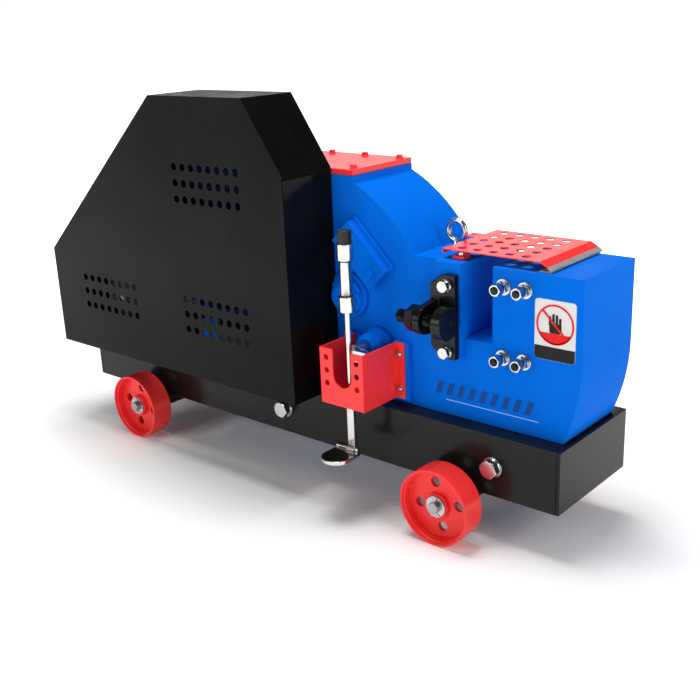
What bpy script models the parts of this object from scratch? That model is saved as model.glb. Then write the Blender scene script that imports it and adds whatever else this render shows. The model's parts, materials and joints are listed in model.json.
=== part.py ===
"""Belt-driven rebar cutter on a four-wheeled frame.

An electric motor turns a flywheel pulley by belt. Two pairs of gears in the housing slow it to a crankshaft,
whose connecting rod pushes a ram with a shear blade across a slot in the cutting head.

Every place below is given in bench coordinates: X from the frame's left end, Y from the face of the frame's
front rail, Z from the underside of the frame. bench() turns them into the part's own frame, whose origin is
on the floor under the middle of the machine.
"""

import math

import bmesh
import bpy
from mathutils import Matrix, Vector

# ---- Driving dimensions, in metres ----
FRAME_LENGTH = 1.220
FRAME_WIDTH = 0.234
FRAME_HEIGHT = 0.112
FRAME_WALL = 0.006
FRAME_FLANGE = 0.038
WHEEL_RADIUS = 0.070
WHEEL_WIDTH = 0.048
WHEEL_GAP = 0.024
WHEEL_STATIONS = {"left": 0.208, "right": 1.019}
AXLE_DROP = 0.017
AXLE_RADIUS = 0.010

BODY_FRONT = 0.034
BODY_DEPTH = 0.172
BODY_WALL = 0.016
BODY_FLOOR = 0.1125
DRUM_CENTRE = (0.645, 0.220)
DRUM_RADIUS = 0.316
NECK = (0.5005, 0.7795)
NECK_TOP = 0.517
HEAD_TOP = 0.391
HEAD_END = 1.2345
HEAD_CURVE = 0.349
HEAD_CURVE_TOP = 0.250
BODY_BOLTS = [(0.6103, 0.0509), (1.0944, 0.0550)]
BLADE_STUDS = [(1.091, 0.3605), (1.131, 0.3605), (1.091, 0.2395), (1.131, 0.2395)]
EYE_BOLT = (0.9405, 0.120)
SLOT = (1.015, 1.070)
SLOT_FLOOR = 0.259

CRANK_AXIS = (0.760, 0.302)
INPUT_AXIS = (0.518, 0.420)
MOTOR_AXIS = (0.200, 0.238)
CRANK_THROW = 0.020
ECCENTRIC_RADIUS = 0.046
ROD_LENGTH = 0.160
FIRST_MODULE, FIRST_PINION, FIRST_GEAR = 0.005, 16, 52
SECOND_MODULE, SECOND_PINION, SECOND_GEAR = 0.006, 15, 41
PULLEY_RADIUS = 0.180
MOTOR_PULLEY_RADIUS = 0.050
MOTOR_RADIUS = 0.108
RAM_HALF = 0.030
RAM_STEP = 0.958
NOSE = (0.1225, 0.1625)
NOSE_HALF = 0.025

GUARD_FRONT = -0.095
GUARD_BACK = 0.032
GUARD_BOTTOM = 0.113
GUARD_SHEET = 0.002
GUARD_OUTLINE = [
    (0.015, GUARD_BOTTOM),
    (0.730, GUARD_BOTTOM),
    (0.730, 0.531),
    (0.643, 0.659),
    (0.393, 0.659),
    (0.015, 0.325),
]
VENT_PITCH = (0.0238, 0.0304)
VENT_COUNT = (8, 3)
VENT_RADIUS = 0.007
VENT_CORNERS = [(0.450, 0.4693), (0.1225, 0.2124), (0.450, 0.2122)]

LEVER_X = 0.8305
LEVER_RADIUS = 0.0054
LEVER_Y = -0.054
CLUTCH_Z = 0.218
CLUTCH_ARM = 0.026
PEDAL_AXIS_Z = 0.039
PEDAL_X = 0.822
STOP_AXIS = (-0.024, 0.300)
BLADE_GUARD_HINGE = (1.1705, 0.3948)
BLADE_GUARD_TOP = 0.408
BLADE_GUARD_LEFT = 0.9635

GAP = 0.0003
BODY_BACK = BODY_FRONT + BODY_DEPTH
BODY_MIDDLE = BODY_FRONT + BODY_DEPTH / 2
MOTOR_FRONT, MOTOR_BACK, FAN_BACK = 0.044, 0.300, 0.345
PEDAL_TIP = -0.118
FLOOR_TO_FRAME = WHEEL_RADIUS + AXLE_DROP

# ---- Finishes: colour, roughness, metallic ----
FINISHES = {
    "black_paint": ((0.012, 0.012, 0.013), 0.25, 0.0),
    "blue_paint": ((0.0, 0.16, 0.75), 0.3, 0.0),
    "red_paint": ((0.75, 0.02, 0.02), 0.3, 0.0),
    "chrome": ((0.75, 0.74, 0.72), 0.12, 1.0),
    "steel": ((0.45, 0.45, 0.46), 0.35, 1.0),
    "blade_steel": ((0.35, 0.36, 0.38), 0.3, 1.0),
    "cast_iron": ((0.10, 0.10, 0.11), 0.55, 0.6),
    "rubber": ((0.02, 0.02, 0.02), 0.7, 0.0),
    "grey_steel": ((0.60, 0.60, 0.60), 0.35, 0.8),
    "motor_grey": ((0.12, 0.14, 0.16), 0.45, 0.2),
}


def bench(x, y, z):
    """A point in bench coordinates, in the part's own frame."""
    middle = (PEDAL_TIP + FAN_BACK) / 2
    return Vector((x - HEAD_END / 2, y - middle, z + FLOOR_TO_FRAME))


# ---- Tools ----
def clear_scene():
    for old in list(bpy.data.objects):
        bpy.data.objects.remove(old)


def new_collection(name):
    collection = bpy.data.collections.new(name)
    bpy.context.scene.collection.children.link(collection)
    return collection


def material(name):
    found = bpy.data.materials.get(name)
    if found:
        return found
    colour, roughness, metallic = FINISHES[name]
    made = bpy.data.materials.new(name)
    made.use_nodes = True
    shader = made.node_tree.nodes["Principled BSDF"]
    shader.inputs["Base Color"].default_value = (*colour, 1.0)
    shader.inputs["Roughness"].default_value = roughness
    shader.inputs["Metallic"].default_value = metallic
    made.diffuse_color = (*colour, 1.0)
    return made


def add_object(name, data, finish=None, location=(0, 0, 0), rotation=(0, 0, 0)):
    """A new object, in the machine's collection, or among the cutters when it has no finish."""
    made = bpy.data.objects.new(name, data)
    made.location = location
    made.rotation_euler = rotation
    if finish:
        data.materials.clear()
        data.materials.append(material(finish))
        MACHINE.objects.link(made)
    else:
        made.hide_render = True
        made.display_type = "WIRE"
        CUTTERS.objects.link(made)
    return made


TURN_TO_Y = (-math.pi / 2, 0, 0)
TURN_TO_X = (0, math.pi / 2, 0)
STAND_UP = (math.pi / 2, 0, 0)
LIE_ALONG_X = (math.pi / 2, 0, math.pi / 2)
UPRIGHT = (0, 0, 0)


def box(name, low, high, finish=None, bevel=0.0):
    """A box between two corners given in bench coordinates."""
    low, high = bench(*low), bench(*high)
    shape = bmesh.new()
    bmesh.ops.create_cube(shape, size=1.0)
    bmesh.ops.scale(shape, vec=high - low, verts=shape.verts)
    mesh = bpy.data.meshes.new(name)
    shape.to_mesh(mesh)
    shape.free()
    made = add_object(name, mesh, finish, (low + high) / 2)
    if bevel:
        round_edges(made, bevel)
    return made


def round_edges(target, width, segments=1):
    bevel = target.modifiers.new("edges", "BEVEL")
    bevel.width = width
    bevel.segments = segments
    bevel.limit_method = "ANGLE"
    bevel.angle_limit = math.radians(50)
    return bevel


def cylinder(name, centre, radius, length, rotation, finish=None, sides=24):
    """A cylinder or hexagon, centred on a bench point, its axis turned from Z by the rotation."""
    shape = bmesh.new()
    bmesh.ops.create_cone(
        shape, cap_ends=True, segments=sides, radius1=radius, radius2=radius, depth=length
    )
    mesh = bpy.data.meshes.new(name)
    shape.to_mesh(mesh)
    shape.free()
    made = add_object(name, mesh, finish, bench(*centre), rotation)
    shade(made)
    return made


def shade(target):
    target.data.shade_smooth()
    target.data.set_sharp_from_angle(angle=math.radians(40))


def turned(name, profile, origin, rotation, finish=None, steps=32):
    """A shape of revolution. The profile's (radius, height) points run out, down the outer side and back in.
    It is closed on itself when it has a bore, and ends on the axis when it has none."""
    has_bore = all(radius > 0 for radius, _ in profile)
    points = [(radius, 0, height) for radius, height in profile]
    edges = [(i, i + 1) for i in range(len(points) - 1)]
    if has_bore:
        edges.append((len(points) - 1, 0))
    mesh = bpy.data.meshes.new(name)
    mesh.from_pydata(points, edges, [])
    made = add_object(name, mesh, finish, bench(*origin), rotation)
    screw = made.modifiers.new("turn", "SCREW")
    screw.steps = screw.render_steps = steps
    screw.use_merge_vertices = True
    screw.merge_threshold = 0.00001
    screw.use_smooth_shade = False
    return made


def plate(name, loops, origin, thickness, rotation=STAND_UP, finish=None):
    """A flat plate from an outline and any holes, whose coordinates are relative to the origin. A plate that
    stands up has its outline in X and Z and its thickness along Y."""
    curve = bpy.data.curves.new(name, "CURVE")
    curve.dimensions = "2D"
    curve.fill_mode = "BOTH"
    curve.extrude = thickness / 2
    for loop in loops:
        spline = curve.splines.new("POLY")
        spline.points.add(len(loop) - 1)
        for point, (x, y) in zip(spline.points, loop):
            point.co = (x, y, 0, 1)
        spline.use_cyclic_u = True
    outline = bpy.data.objects.new(name + "_outline", curve)
    outline.location = bench(*origin)
    outline.rotation_euler = rotation
    CUTTERS.objects.link(outline)
    return mesh_from_curve(name, outline, finish)


def mesh_from_curve(name, curve_object, finish=None):
    """The curve's evaluated shape as a mesh object with its caps welded. The curve is removed."""
    bpy.context.view_layer.update()
    graph = bpy.context.evaluated_depsgraph_get()
    mesh = bpy.data.meshes.new_from_object(curve_object.evaluated_get(graph))
    mesh.name = name
    welded = bmesh.new()
    welded.from_mesh(mesh)
    bmesh.ops.remove_doubles(welded, verts=welded.verts, dist=0.000001)
    bmesh.ops.recalc_face_normals(welded, faces=welded.faces)
    welded.to_mesh(mesh)
    welded.free()
    place = curve_object.matrix_world.copy()
    bpy.data.objects.remove(curve_object)
    made = add_object(name, mesh, finish)
    made.matrix_world = place
    return made


def merged(name, tools):
    """Several separate tool meshes as one cutter."""
    shape = bmesh.new()
    bpy.context.view_layer.update()
    for tool in tools:
        part = tool.data.copy()
        part.transform(tool.matrix_world)
        shape.from_mesh(part)
        bpy.data.meshes.remove(part)
        bpy.data.objects.remove(tool)
    mesh = bpy.data.meshes.new(name)
    shape.to_mesh(mesh)
    shape.free()
    return add_object(name, mesh)


def boolean(target, tool, operation):
    """Cuts the tool from the target, or joins it on. The tool stays among the cutters."""
    modifier = target.modifiers.new(f"{operation.lower()} {tool.name}", "BOOLEAN")
    modifier.operation = operation
    modifier.object = tool
    modifier.solver = "EXACT"
    return target


def cut(target, tool):
    return boolean(target, tool, "DIFFERENCE")


def join(target, tool):
    return boolean(target, tool, "UNION")


def arc(centre, radius, start, end, count):
    """Points along an arc, both ends included. Angles are in degrees."""
    points = []
    for i in range(count):
        angle = math.radians(start + (end - start) * i / (count - 1))
        points.append((centre[0] + radius * math.cos(angle), centre[1] + radius * math.sin(angle)))
    return points


def ring(centre, radius, sides):
    """A full circle's points, each once."""
    return arc(centre, radius, 0, 360, sides + 1)[:-1]


def angle_to(centre, point):
    return math.degrees(math.atan2(point[1] - centre[1], point[0] - centre[0]))


def meeting_point(a, reach_a, b, reach_b):
    """The lower of the two points that lie reach_a from a and reach_b from b."""
    a, b = Vector(a), Vector(b)
    span = (b - a).length
    along = (reach_a**2 - reach_b**2 + span**2) / (2 * span)
    away = math.sqrt(reach_a**2 - along**2)
    forward = (b - a).normalized()
    side = Vector((forward.y, -forward.x))
    if side.y > 0:
        side.negate()
    return tuple(a + forward * along + side * away)


def gear_outline(module, teeth, tooth_angle):
    """A spur gear's outline about (0, 0), with one tooth centred on tooth_angle, in degrees.
    Each flank has a point at the root, the pitch circle and the tip of a 20 degree involute."""
    pressure = math.radians(20)
    pitch = module * teeth / 2
    base = pitch * math.cos(pressure)
    backlash = 0.0005
    half_tooth = math.pi / (2 * teeth) - backlash / (2 * pitch)

    def involute(angle):
        return math.tan(angle) - angle

    def half_angle(radius):
        if radius <= base:
            return half_tooth + involute(pressure)
        return half_tooth + involute(pressure) - involute(math.acos(base / radius))

    radii = [pitch - 1.2 * module, pitch, pitch + 0.9 * module]
    flank = [(radius, half_angle(radius)) for radius in radii]
    points = []
    for tooth in range(teeth):
        middle = math.radians(tooth_angle) + 2 * math.pi * tooth / teeth
        for radius, half in flank:
            points.append((radius * math.cos(middle - half), radius * math.sin(middle - half)))
        for radius, half in reversed(flank):
            points.append((radius * math.cos(middle + half), radius * math.sin(middle + half)))
    return points


def belt_loop(centre_a, radius_a, centre_b, radius_b, offset, steps=20):
    """The outline of a belt round two pulleys, standing off them by the offset. b is the bigger pulley."""
    a, b = Vector(centre_a), Vector(centre_b)
    heading = angle_to(a, b)
    lean = math.degrees(math.acos((radius_a - radius_b) / (b - a).length))
    loop = arc(a, radius_a + offset, heading + lean, heading + 360 - lean, steps)
    loop += arc(b, radius_b + offset, heading - lean, heading + lean, 2 * steps)
    return loop


# ---- Frame, axles and wheels ----
def channel_section():
    """A channel rail's section, its web at y = 0 and its flanges reaching inwards."""
    flange, height, wall = FRAME_FLANGE, FRAME_HEIGHT, FRAME_WALL
    return [
        (0, 0),
        (flange, 0),
        (flange, wall),
        (wall, wall),
        (wall, height - wall),
        (flange, height - wall),
        (flange, height),
        (0, height),
    ]


def build_frame():
    end = FRAME_WALL + GAP
    length = FRAME_LENGTH - 2 * end
    front = channel_section()
    rear = [(FRAME_WIDTH - y, z) for y, z in front]
    middle = (FRAME_LENGTH / 2, 0, 0)
    rails = {
        "front_rail": (front, 0.0),
        "rear_rail": (rear, FRAME_WIDTH),
    }
    for name, (section, web) in rails.items():
        rail = plate(name, [section], middle, length, LIE_ALONG_X, "black_paint")
        holes = []
        for x, z in BODY_BOLTS:
            holes.append(cylinder("hole", (x, web, z), 0.0105, 0.030, TURN_TO_Y, sides=16))
        cut(rail, merged(name + "_holes", holes))
    box("left_end_plate", (0, 0, 0), (FRAME_WALL, FRAME_WIDTH, FRAME_HEIGHT), "black_paint")
    right = FRAME_LENGTH - FRAME_WALL
    box("right_end_plate", (right, 0, 0), (FRAME_LENGTH, FRAME_WIDTH, FRAME_HEIGHT), "black_paint")
    low = (0.080, 0.012, FRAME_HEIGHT + GAP)
    box("motor_base_plate", low, (0.322, 0.232, 0.1255), "black_paint", bevel=0.002)


def wheel_profile():
    """The wheel's section: a deep rim, a web set back from the outer face, and a hub. Height runs inwards."""
    rim, half = WHEEL_RADIUS, WHEEL_WIDTH / 2
    return [
        (AXLE_RADIUS + GAP, half),
        (0.022, half),
        (0.022, 0.004),
        (rim - 0.009, 0.004),
        (rim - 0.009, half - 0.003),
        (rim - 0.003, half),
        (rim, half - 0.003),
        (rim, 0.003 - half),
        (rim - 0.003, -half),
        (rim - 0.008, 0.006 - half),
        (rim - 0.010, -0.004),
        (0.022, -0.004),
        (0.022, 0.012 - half),
        (AXLE_RADIUS + GAP, 0.012 - half),
    ]


def build_wheel(name, x, y):
    """The wheel's outer face is its lower end before it is turned, so a rear wheel turns the other way."""
    at_front = y < 0
    turn = TURN_TO_Y if at_front else STAND_UP
    wheel = turned(name, wheel_profile(), (x, y, -AXLE_DROP), turn, "red_paint", steps=28)
    holes = []
    for quarter in range(4):
        angle = math.radians(100 + 90 * quarter)
        across = 0.041 * math.cos(angle)
        up = 0.041 * math.sin(angle) - AXLE_DROP
        holes.append(cylinder("hole", (x + across, y, up), 0.0095, 0.030, TURN_TO_Y, sides=10))
    cut(wheel, merged(name + "_holes", holes))


def build_running_gear():
    front = -WHEEL_GAP - WHEEL_WIDTH / 2
    rear = FRAME_WIDTH - front
    for side, x in WHEEL_STATIONS.items():
        build_wheel(f"front_{side}_wheel", x, front)
        build_wheel(f"rear_{side}_wheel", x, rear)
        length = FRAME_WIDTH + 2 * WHEEL_GAP + 2 * WHEEL_WIDTH
        middle = (x, FRAME_WIDTH / 2, -AXLE_DROP)
        axle = cylinder(f"{side}_axle", middle, AXLE_RADIUS, length, TURN_TO_Y, "steel")
        round_edges(axle, 0.001)
        low = (x - 0.022, 0.004, -0.032)
        high = (x + 0.022, FRAME_WIDTH - 0.004, -GAP)
        carrier = box(f"{side}_axle_carrier", low, high, "black_paint")
        reach = FRAME_WIDTH + 2 * WHEEL_GAP - 4 * GAP
        join(carrier, cylinder(f"{side}_spacer", middle, 0.0155, reach, TURN_TO_Y))
        cut(carrier, cylinder(f"{side}_carrier_bore", middle, AXLE_RADIUS + GAP, length, TURN_TO_Y))


# ---- Housing, with the cutting head in one casting ----
def housing_outline():
    cx, cz = DRUM_CENTRE

    def on_drum(x=None, z=None, side=1):
        if x is None:
            x = cx + side * math.sqrt(DRUM_RADIUS**2 - (z - cz) ** 2)
        else:
            z = cz + math.sqrt(DRUM_RADIUS**2 - (x - cx) ** 2)
        return angle_to(DRUM_CENTRE, (x, z))

    foot = on_drum(z=BODY_FLOOR, side=-1) % 360
    neck_left = on_drum(x=NECK[0])
    neck_right = on_drum(x=NECK[1])
    head = on_drum(z=HEAD_TOP)
    curve_centre = (HEAD_END - HEAD_CURVE, HEAD_CURVE_TOP)
    curve_foot = -math.degrees(math.asin((HEAD_CURVE_TOP - BODY_FLOOR) / HEAD_CURVE))
    outline = arc(DRUM_CENTRE, DRUM_RADIUS, foot, neck_left, 14)
    outline += [(NECK[0], NECK_TOP), (NECK[1], NECK_TOP)]
    outline += arc(DRUM_CENTRE, DRUM_RADIUS, neck_right, head, 12)
    outline += [(SLOT[0], HEAD_TOP), (SLOT[0], SLOT_FLOOR), (SLOT[1], SLOT_FLOOR), (SLOT[1], HEAD_TOP)]
    outline += [(HEAD_END, HEAD_TOP)]
    outline += arc(curve_centre, HEAD_CURVE, 0, curve_foot, 8)
    return outline


def cavity_outline():
    """The gear chamber, open at the top under the cover."""
    wall, floor = 0.014, BODY_FLOOR + 0.014
    radius = DRUM_RADIUS - wall
    cx, cz = DRUM_CENTRE
    foot = 180 + math.degrees(math.asin((cz - floor) / radius))
    left, right = NECK[0] + wall, NECK[1] - wall
    neck_left = math.degrees(math.acos((left - cx) / radius))
    neck_right = math.degrees(math.acos((right - cx) / radius))
    outline = arc(DRUM_CENTRE, radius, foot, neck_left, 14)
    outline += [(left, NECK_TOP + wall), (right, NECK_TOP + wall)]
    outline += arc(DRUM_CENTRE, radius, neck_right, 180 - foot, 18)
    return outline


def shaft_bores():
    """Each shaft's bench X and Z, and the radius of its plain bearing in the housing's walls."""
    return {
        "input": (*INPUT_AXIS, 0.015 + GAP),
        "intermediate": (*intermediate_axis(), 0.017 + GAP),
        "crank": (*CRANK_AXIS, 0.025 + GAP),
    }


def intermediate_axis():
    first = FIRST_MODULE * (FIRST_PINION + FIRST_GEAR) / 2
    second = SECOND_MODULE * (SECOND_PINION + SECOND_GEAR) / 2
    return meeting_point(INPUT_AXIS, first, CRANK_AXIS, second)


def build_housing():
    middle = (0, BODY_MIDDLE, 0)
    housing = plate("gear_housing", [housing_outline()], middle, BODY_DEPTH, finish="blue_paint")
    pads = {
        "stop_pad": ((0.962, 0.022, 0.226), (SLOT[0], 0.040, HEAD_TOP)),
        "guide_pad_left": ((0.752, 0.024, 0.121), (0.789, 0.040, 0.231)),
        "guide_pad_right": ((0.867, 0.024, 0.121), (0.902, 0.040, 0.231)),
    }
    for name, (low, high) in pads.items():
        join(housing, box(name, low, high))
    chamber = plate("chamber", [cavity_outline()], middle, BODY_DEPTH - 2 * BODY_WALL)
    cut(housing, chamber)
    clear = RAM_HALF + GAP
    low = (DRUM_CENTRE[0] + 0.200, BODY_MIDDLE - clear, RAM_Z - clear)
    cut(housing, box("ram_guide", low, (RAM_STEP + 0.044, BODY_MIDDLE + clear, RAM_Z + clear)))
    low = (RAM_STEP - 0.010, NOSE[0] - GAP, RAM_Z - NOSE_HALF - GAP)
    high = (SLOT[0] + 0.010, NOSE[1] + GAP, RAM_Z + NOSE_HALF + GAP)
    cut(housing, box("nose_guide", low, high))
    for i, (x, z) in enumerate(BODY_BOLTS):
        low, high = (x - 0.025, 0.040, z + 0.010), (x + 0.025, 0.194, BODY_FLOOR + 0.010)
        join(housing, box(f"foot_neck_{i}", low, high))
        low, high = (x - 0.025, 0.0065, z - 0.024), (x + 0.025, 0.2275, z + 0.022)
        join(housing, box(f"foot_{i}", low, high))
    bores = []
    for x, z, radius in shaft_bores().values():
        bores.append(cylinder("seat", (x, BODY_MIDDLE, z), radius, 0.200, TURN_TO_Y, sides=28))
    for x, z in BODY_BOLTS:
        for y in (0.008, FRAME_WIDTH - 0.008):
            bores.append(cylinder("bolt_hole", (x, y, z), 0.0103, 0.060, TURN_TO_Y, sides=16))
    for x, z in BLADE_STUDS:
        bores.append(cylinder("stud_hole", (x, BODY_FRONT, z), 0.0071, 0.070, TURN_TO_Y, sides=12))
    bores.append(cylinder("clutch_hole", (LEVER_X, BODY_FRONT, CLUTCH_Z), 0.0115, 0.060, TURN_TO_Y))
    x, y = EYE_BOLT
    bores.append(cylinder("eye_hole", (x, y, HEAD_TOP), 0.0063, 0.050, UPRIGHT, sides=12))
    cut(housing, merged("bearing_seats", bores))


def build_housing_covers():
    low = (NECK[0], BODY_FRONT, NECK_TOP + GAP)
    high = (NECK[1], BODY_BACK, NECK_TOP + 0.011)
    box("top_cover", low, high, "red_paint", bevel=0.0008)
    crank_x, crank_z = CRANK_AXIS
    radius = 0.043
    centre = (crank_x + 0.003, 0, crank_z - 0.002)
    flat_edge = 0.732 - centre[0]
    outline = [p for p in ring((0, 0), radius, 40) if p[0] > flat_edge]
    reach = math.sqrt(radius**2 - flat_edge**2)
    loop = sorted(outline, key=lambda p: math.atan2(p[1], p[0]))
    loop = [(flat_edge, -reach)] + loop + [(flat_edge, reach)]
    cap = plate("crank_bearing_cap", [loop], (centre[0], 0.027, centre[2]), 0.0134, finish="blue_paint")
    nose = cylinder("cap_nose", (centre[0], 0.020, centre[2]), 0.026, 0.006, TURN_TO_Y, sides=28)
    join(cap, nose)
    x1, z1 = INPUT_AXIS
    x2, z2 = intermediate_axis()
    corners = [(x1, z1), (x2, z2), CRANK_AXIS]
    loop = []
    for i, corner in enumerate(corners):
        before, after = corners[i - 1], corners[(i + 1) % 3]
        start = angle_to(before, corner) - 90
        end = angle_to(corner, after) - 90
        if end < start:
            end += 360
        loop += arc(corner, 0.056, start, end, 7)
    place = (0, BODY_BACK + 0.005 + GAP, 0)
    plate("rear_bearing_cover", [loop], place, 0.010, finish="blue_paint")


# ---- Drive train ----
def build_drive():
    x, z = INPUT_AXIS
    profile = [
        (0.0153, 0.028),
        (0.034, 0.028),
        (0.034, 0.007),
        (PULLEY_RADIUS - 0.014, 0.007),
        (PULLEY_RADIUS - 0.014, 0.026),
        (PULLEY_RADIUS, 0.026),
        (PULLEY_RADIUS, -0.026),
        (PULLEY_RADIUS - 0.014, -0.026),
        (PULLEY_RADIUS - 0.014, -0.007),
        (0.034, -0.007),
        (0.034, -0.028),
        (0.0153, -0.028),
    ]
    turned("flywheel_pulley", profile, (x, -0.032, z), TURN_TO_Y, "blue_paint", steps=44)
    motor_x, motor_z = MOTOR_AXIS
    profile = [
        (0.0143, 0.026),
        (MOTOR_PULLEY_RADIUS, 0.026),
        (MOTOR_PULLEY_RADIUS, -0.026),
        (0.0143, -0.026),
    ]
    turned("motor_pulley", profile, (motor_x, -0.032, motor_z), TURN_TO_Y, "cast_iron", steps=28)
    pulleys = (MOTOR_AXIS, MOTOR_PULLEY_RADIUS, INPUT_AXIS, PULLEY_RADIUS)
    loops = [belt_loop(*pulleys, 0.006), belt_loop(*pulleys, 0.0006)]
    plate("drive_belt", loops, (0, -0.032, 0), 0.044, finish="rubber")


def build_shafts():
    x, z = INPUT_AXIS
    mid_x, mid_z = intermediate_axis()
    crank_x, crank_z = CRANK_AXIS
    toward_mid = angle_to(INPUT_AXIS, (mid_x, mid_z))
    toward_crank = angle_to((mid_x, mid_z), CRANK_AXIS)
    first_y, second_y = 0.163, 0.073

    shaft = cylinder("input_shaft", (x, 0.067, z), 0.015, 0.270, TURN_TO_Y, "steel")
    outline = gear_outline(FIRST_MODULE, FIRST_PINION, toward_mid)
    join(shaft, plate("first_pinion", [outline], (x, first_y, z), 0.044))

    shaft = cylinder("intermediate_shaft", (mid_x, 0.120, mid_z), 0.017, 0.170, TURN_TO_Y, "steel")
    outline = gear_outline(SECOND_MODULE, SECOND_PINION, toward_crank)
    join(shaft, plate("second_pinion", [outline], (mid_x, second_y, mid_z), 0.040))

    half_pitch = 180 / FIRST_GEAR
    outline = gear_outline(FIRST_MODULE, FIRST_GEAR, toward_mid + 180 + half_pitch)
    loops = [outline, ring((0, 0), 0.017 + 2 * GAP, 32)]
    plate("intermediate_gear", loops, (mid_x, first_y, mid_z), 0.038, finish="cast_iron")

    half_pitch = 180 / SECOND_GEAR
    outline = gear_outline(SECOND_MODULE, SECOND_GEAR, toward_crank + 180 + half_pitch)
    loops = [outline, ring((0, 0), 0.025 + 2 * GAP, 32)]
    plate("crank_gear", loops, (crank_x, second_y, crank_z), 0.036, finish="cast_iron")

    crank = cylinder("crankshaft", (crank_x, 0.120, crank_z), 0.025, 0.170, TURN_TO_Y, "steel")
    eccentric = (crank_x - CRANK_THROW, BODY_MIDDLE, crank_z)
    join(crank, cylinder("eccentric", eccentric, ECCENTRIC_RADIUS, 0.030, TURN_TO_Y, sides=36))


RAM_Z = CRANK_AXIS[1]
RAM_PIN_X = CRANK_AXIS[0] - CRANK_THROW + ROD_LENGTH
RAM_FACE = SLOT[0] - 0.020


def build_ram():
    """The ram is forked at its back, round the rod's end, with room for the rod's whole swing."""
    eccentric_x = CRANK_AXIS[0] - CRANK_THROW
    big_end = ring((0, 0), 0.060, 36)
    rod_end = plate("connecting_rod", [big_end], (eccentric_x, BODY_MIDDLE, RAM_Z), 0.022, finish="cast_iron")
    low = (eccentric_x + 0.040, BODY_MIDDLE - 0.009, RAM_Z - 0.010)
    join(rod_end, box("rod_shank", low, (RAM_PIN_X + 0.006, BODY_MIDDLE + 0.009, RAM_Z + 0.010)))
    centre = (eccentric_x, BODY_MIDDLE, RAM_Z)
    bore = ECCENTRIC_RADIUS + 2 * GAP
    cut(rod_end, cylinder("big_end_bore", centre, bore, 0.060, TURN_TO_Y, sides=36))

    half = RAM_HALF
    low = (0.892, BODY_MIDDLE - half, RAM_Z - half)
    ram = box("ram", low, (RAM_STEP, BODY_MIDDLE + half, RAM_Z + half), "blade_steel")
    low = (RAM_STEP - 0.006, NOSE[0], RAM_Z - NOSE_HALF)
    join(ram, box("ram_nose", low, (RAM_FACE, NOSE[1], RAM_Z + NOSE_HALF)))
    pocket_end = RAM_PIN_X + 0.006 + 2 * CRANK_THROW + 0.004
    low = (0.880, BODY_MIDDLE - 0.012, RAM_Z - 0.040)
    cut(ram, box("ram_fork", low, (pocket_end, BODY_MIDDLE + 0.012, RAM_Z + 0.040)))

    low = (RAM_FACE + GAP, NOSE[0] + 0.001, RAM_Z - 0.024)
    high = (RAM_FACE + 0.016, NOSE[0] + 0.025, RAM_Z + 0.024)
    box("moving_blade", low, high, "blade_steel", bevel=0.001)
    low = (SLOT[1] - 0.021, NOSE[0] + 0.026, RAM_Z - 0.040)
    high = (SLOT[1] - GAP, NOSE[0] + 0.052, RAM_Z + 0.040)
    box("fixed_blade", low, high, "blade_steel", bevel=0.001)


# ---- Motor ----
def build_motor():
    x, z = MOTOR_AXIS
    middle = (MOTOR_FRONT + MOTOR_BACK) / 2
    length = MOTOR_BACK - MOTOR_FRONT
    body = cylinder("motor_body", (x, middle, z), MOTOR_RADIUS, length, TURN_TO_Y, "motor_grey", sides=40)
    foot_top, foot_bottom = 0.140, 0.1255 + GAP
    low = (x - 0.108, MOTOR_FRONT + 0.040, foot_bottom)
    join(body, box("motor_feet", low, (x + 0.108, MOTOR_BACK - 0.060, foot_top)))
    low = (x - 0.050, MOTOR_FRONT + 0.050, foot_top - 0.004)
    join(body, box("motor_pedestal", low, (x + 0.050, MOTOR_BACK - 0.070, z - 0.060)))
    low = (x - 0.040, MOTOR_FRONT + 0.060, z + 0.090)
    join(body, box("terminal_seat", low, (x + 0.040, MOTOR_FRONT + 0.150, z + MOTOR_RADIUS + 0.004)))
    bore = cylinder("motor_bore", (x, MOTOR_FRONT, z), 0.016, 0.120, TURN_TO_Y, sides=20)
    cut(body, bore)
    cylinder("motor_shaft", (x, 0.018, z), 0.014, 0.156, TURN_TO_Y, "steel", sides=20)
    profile = [
        (0.030, FAN_BACK - MOTOR_BACK),
        (0.086, FAN_BACK - MOTOR_BACK),
        (0.104, FAN_BACK - MOTOR_BACK - 0.018),
        (0.104, GAP),
        (0.101, GAP),
        (0.101, FAN_BACK - MOTOR_BACK - 0.019),
        (0.085, FAN_BACK - MOTOR_BACK - 0.003),
        (0.030, FAN_BACK - MOTOR_BACK - 0.003),
    ]
    turned("motor_fan_cover", profile, (x, MOTOR_BACK, z), TURN_TO_Y, "motor_grey", steps=36)
    base = z + MOTOR_RADIUS + 0.004 + GAP
    low = (x - 0.040, MOTOR_FRONT + 0.060, base)
    high = (x + 0.040, MOTOR_FRONT + 0.150, base + 0.042)
    box("motor_terminal_box", low, high, "motor_grey", bevel=0.004)


# ---- Belt guard ----
def inset_outline(points, distance):
    """A convex outline that runs anticlockwise, moved inwards by a distance."""
    count = len(points)
    moved = []
    for i in range(count):
        here = Vector(points[i])
        back = (here - Vector(points[i - 1])).normalized()
        ahead = (Vector(points[(i + 1) % count]) - here).normalized()
        inward = Vector((-back.y, back.x)) + Vector((-ahead.y, ahead.x))
        moved.append(tuple(here + inward * (distance / (1 + back.dot(ahead)))))
    return moved


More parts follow.
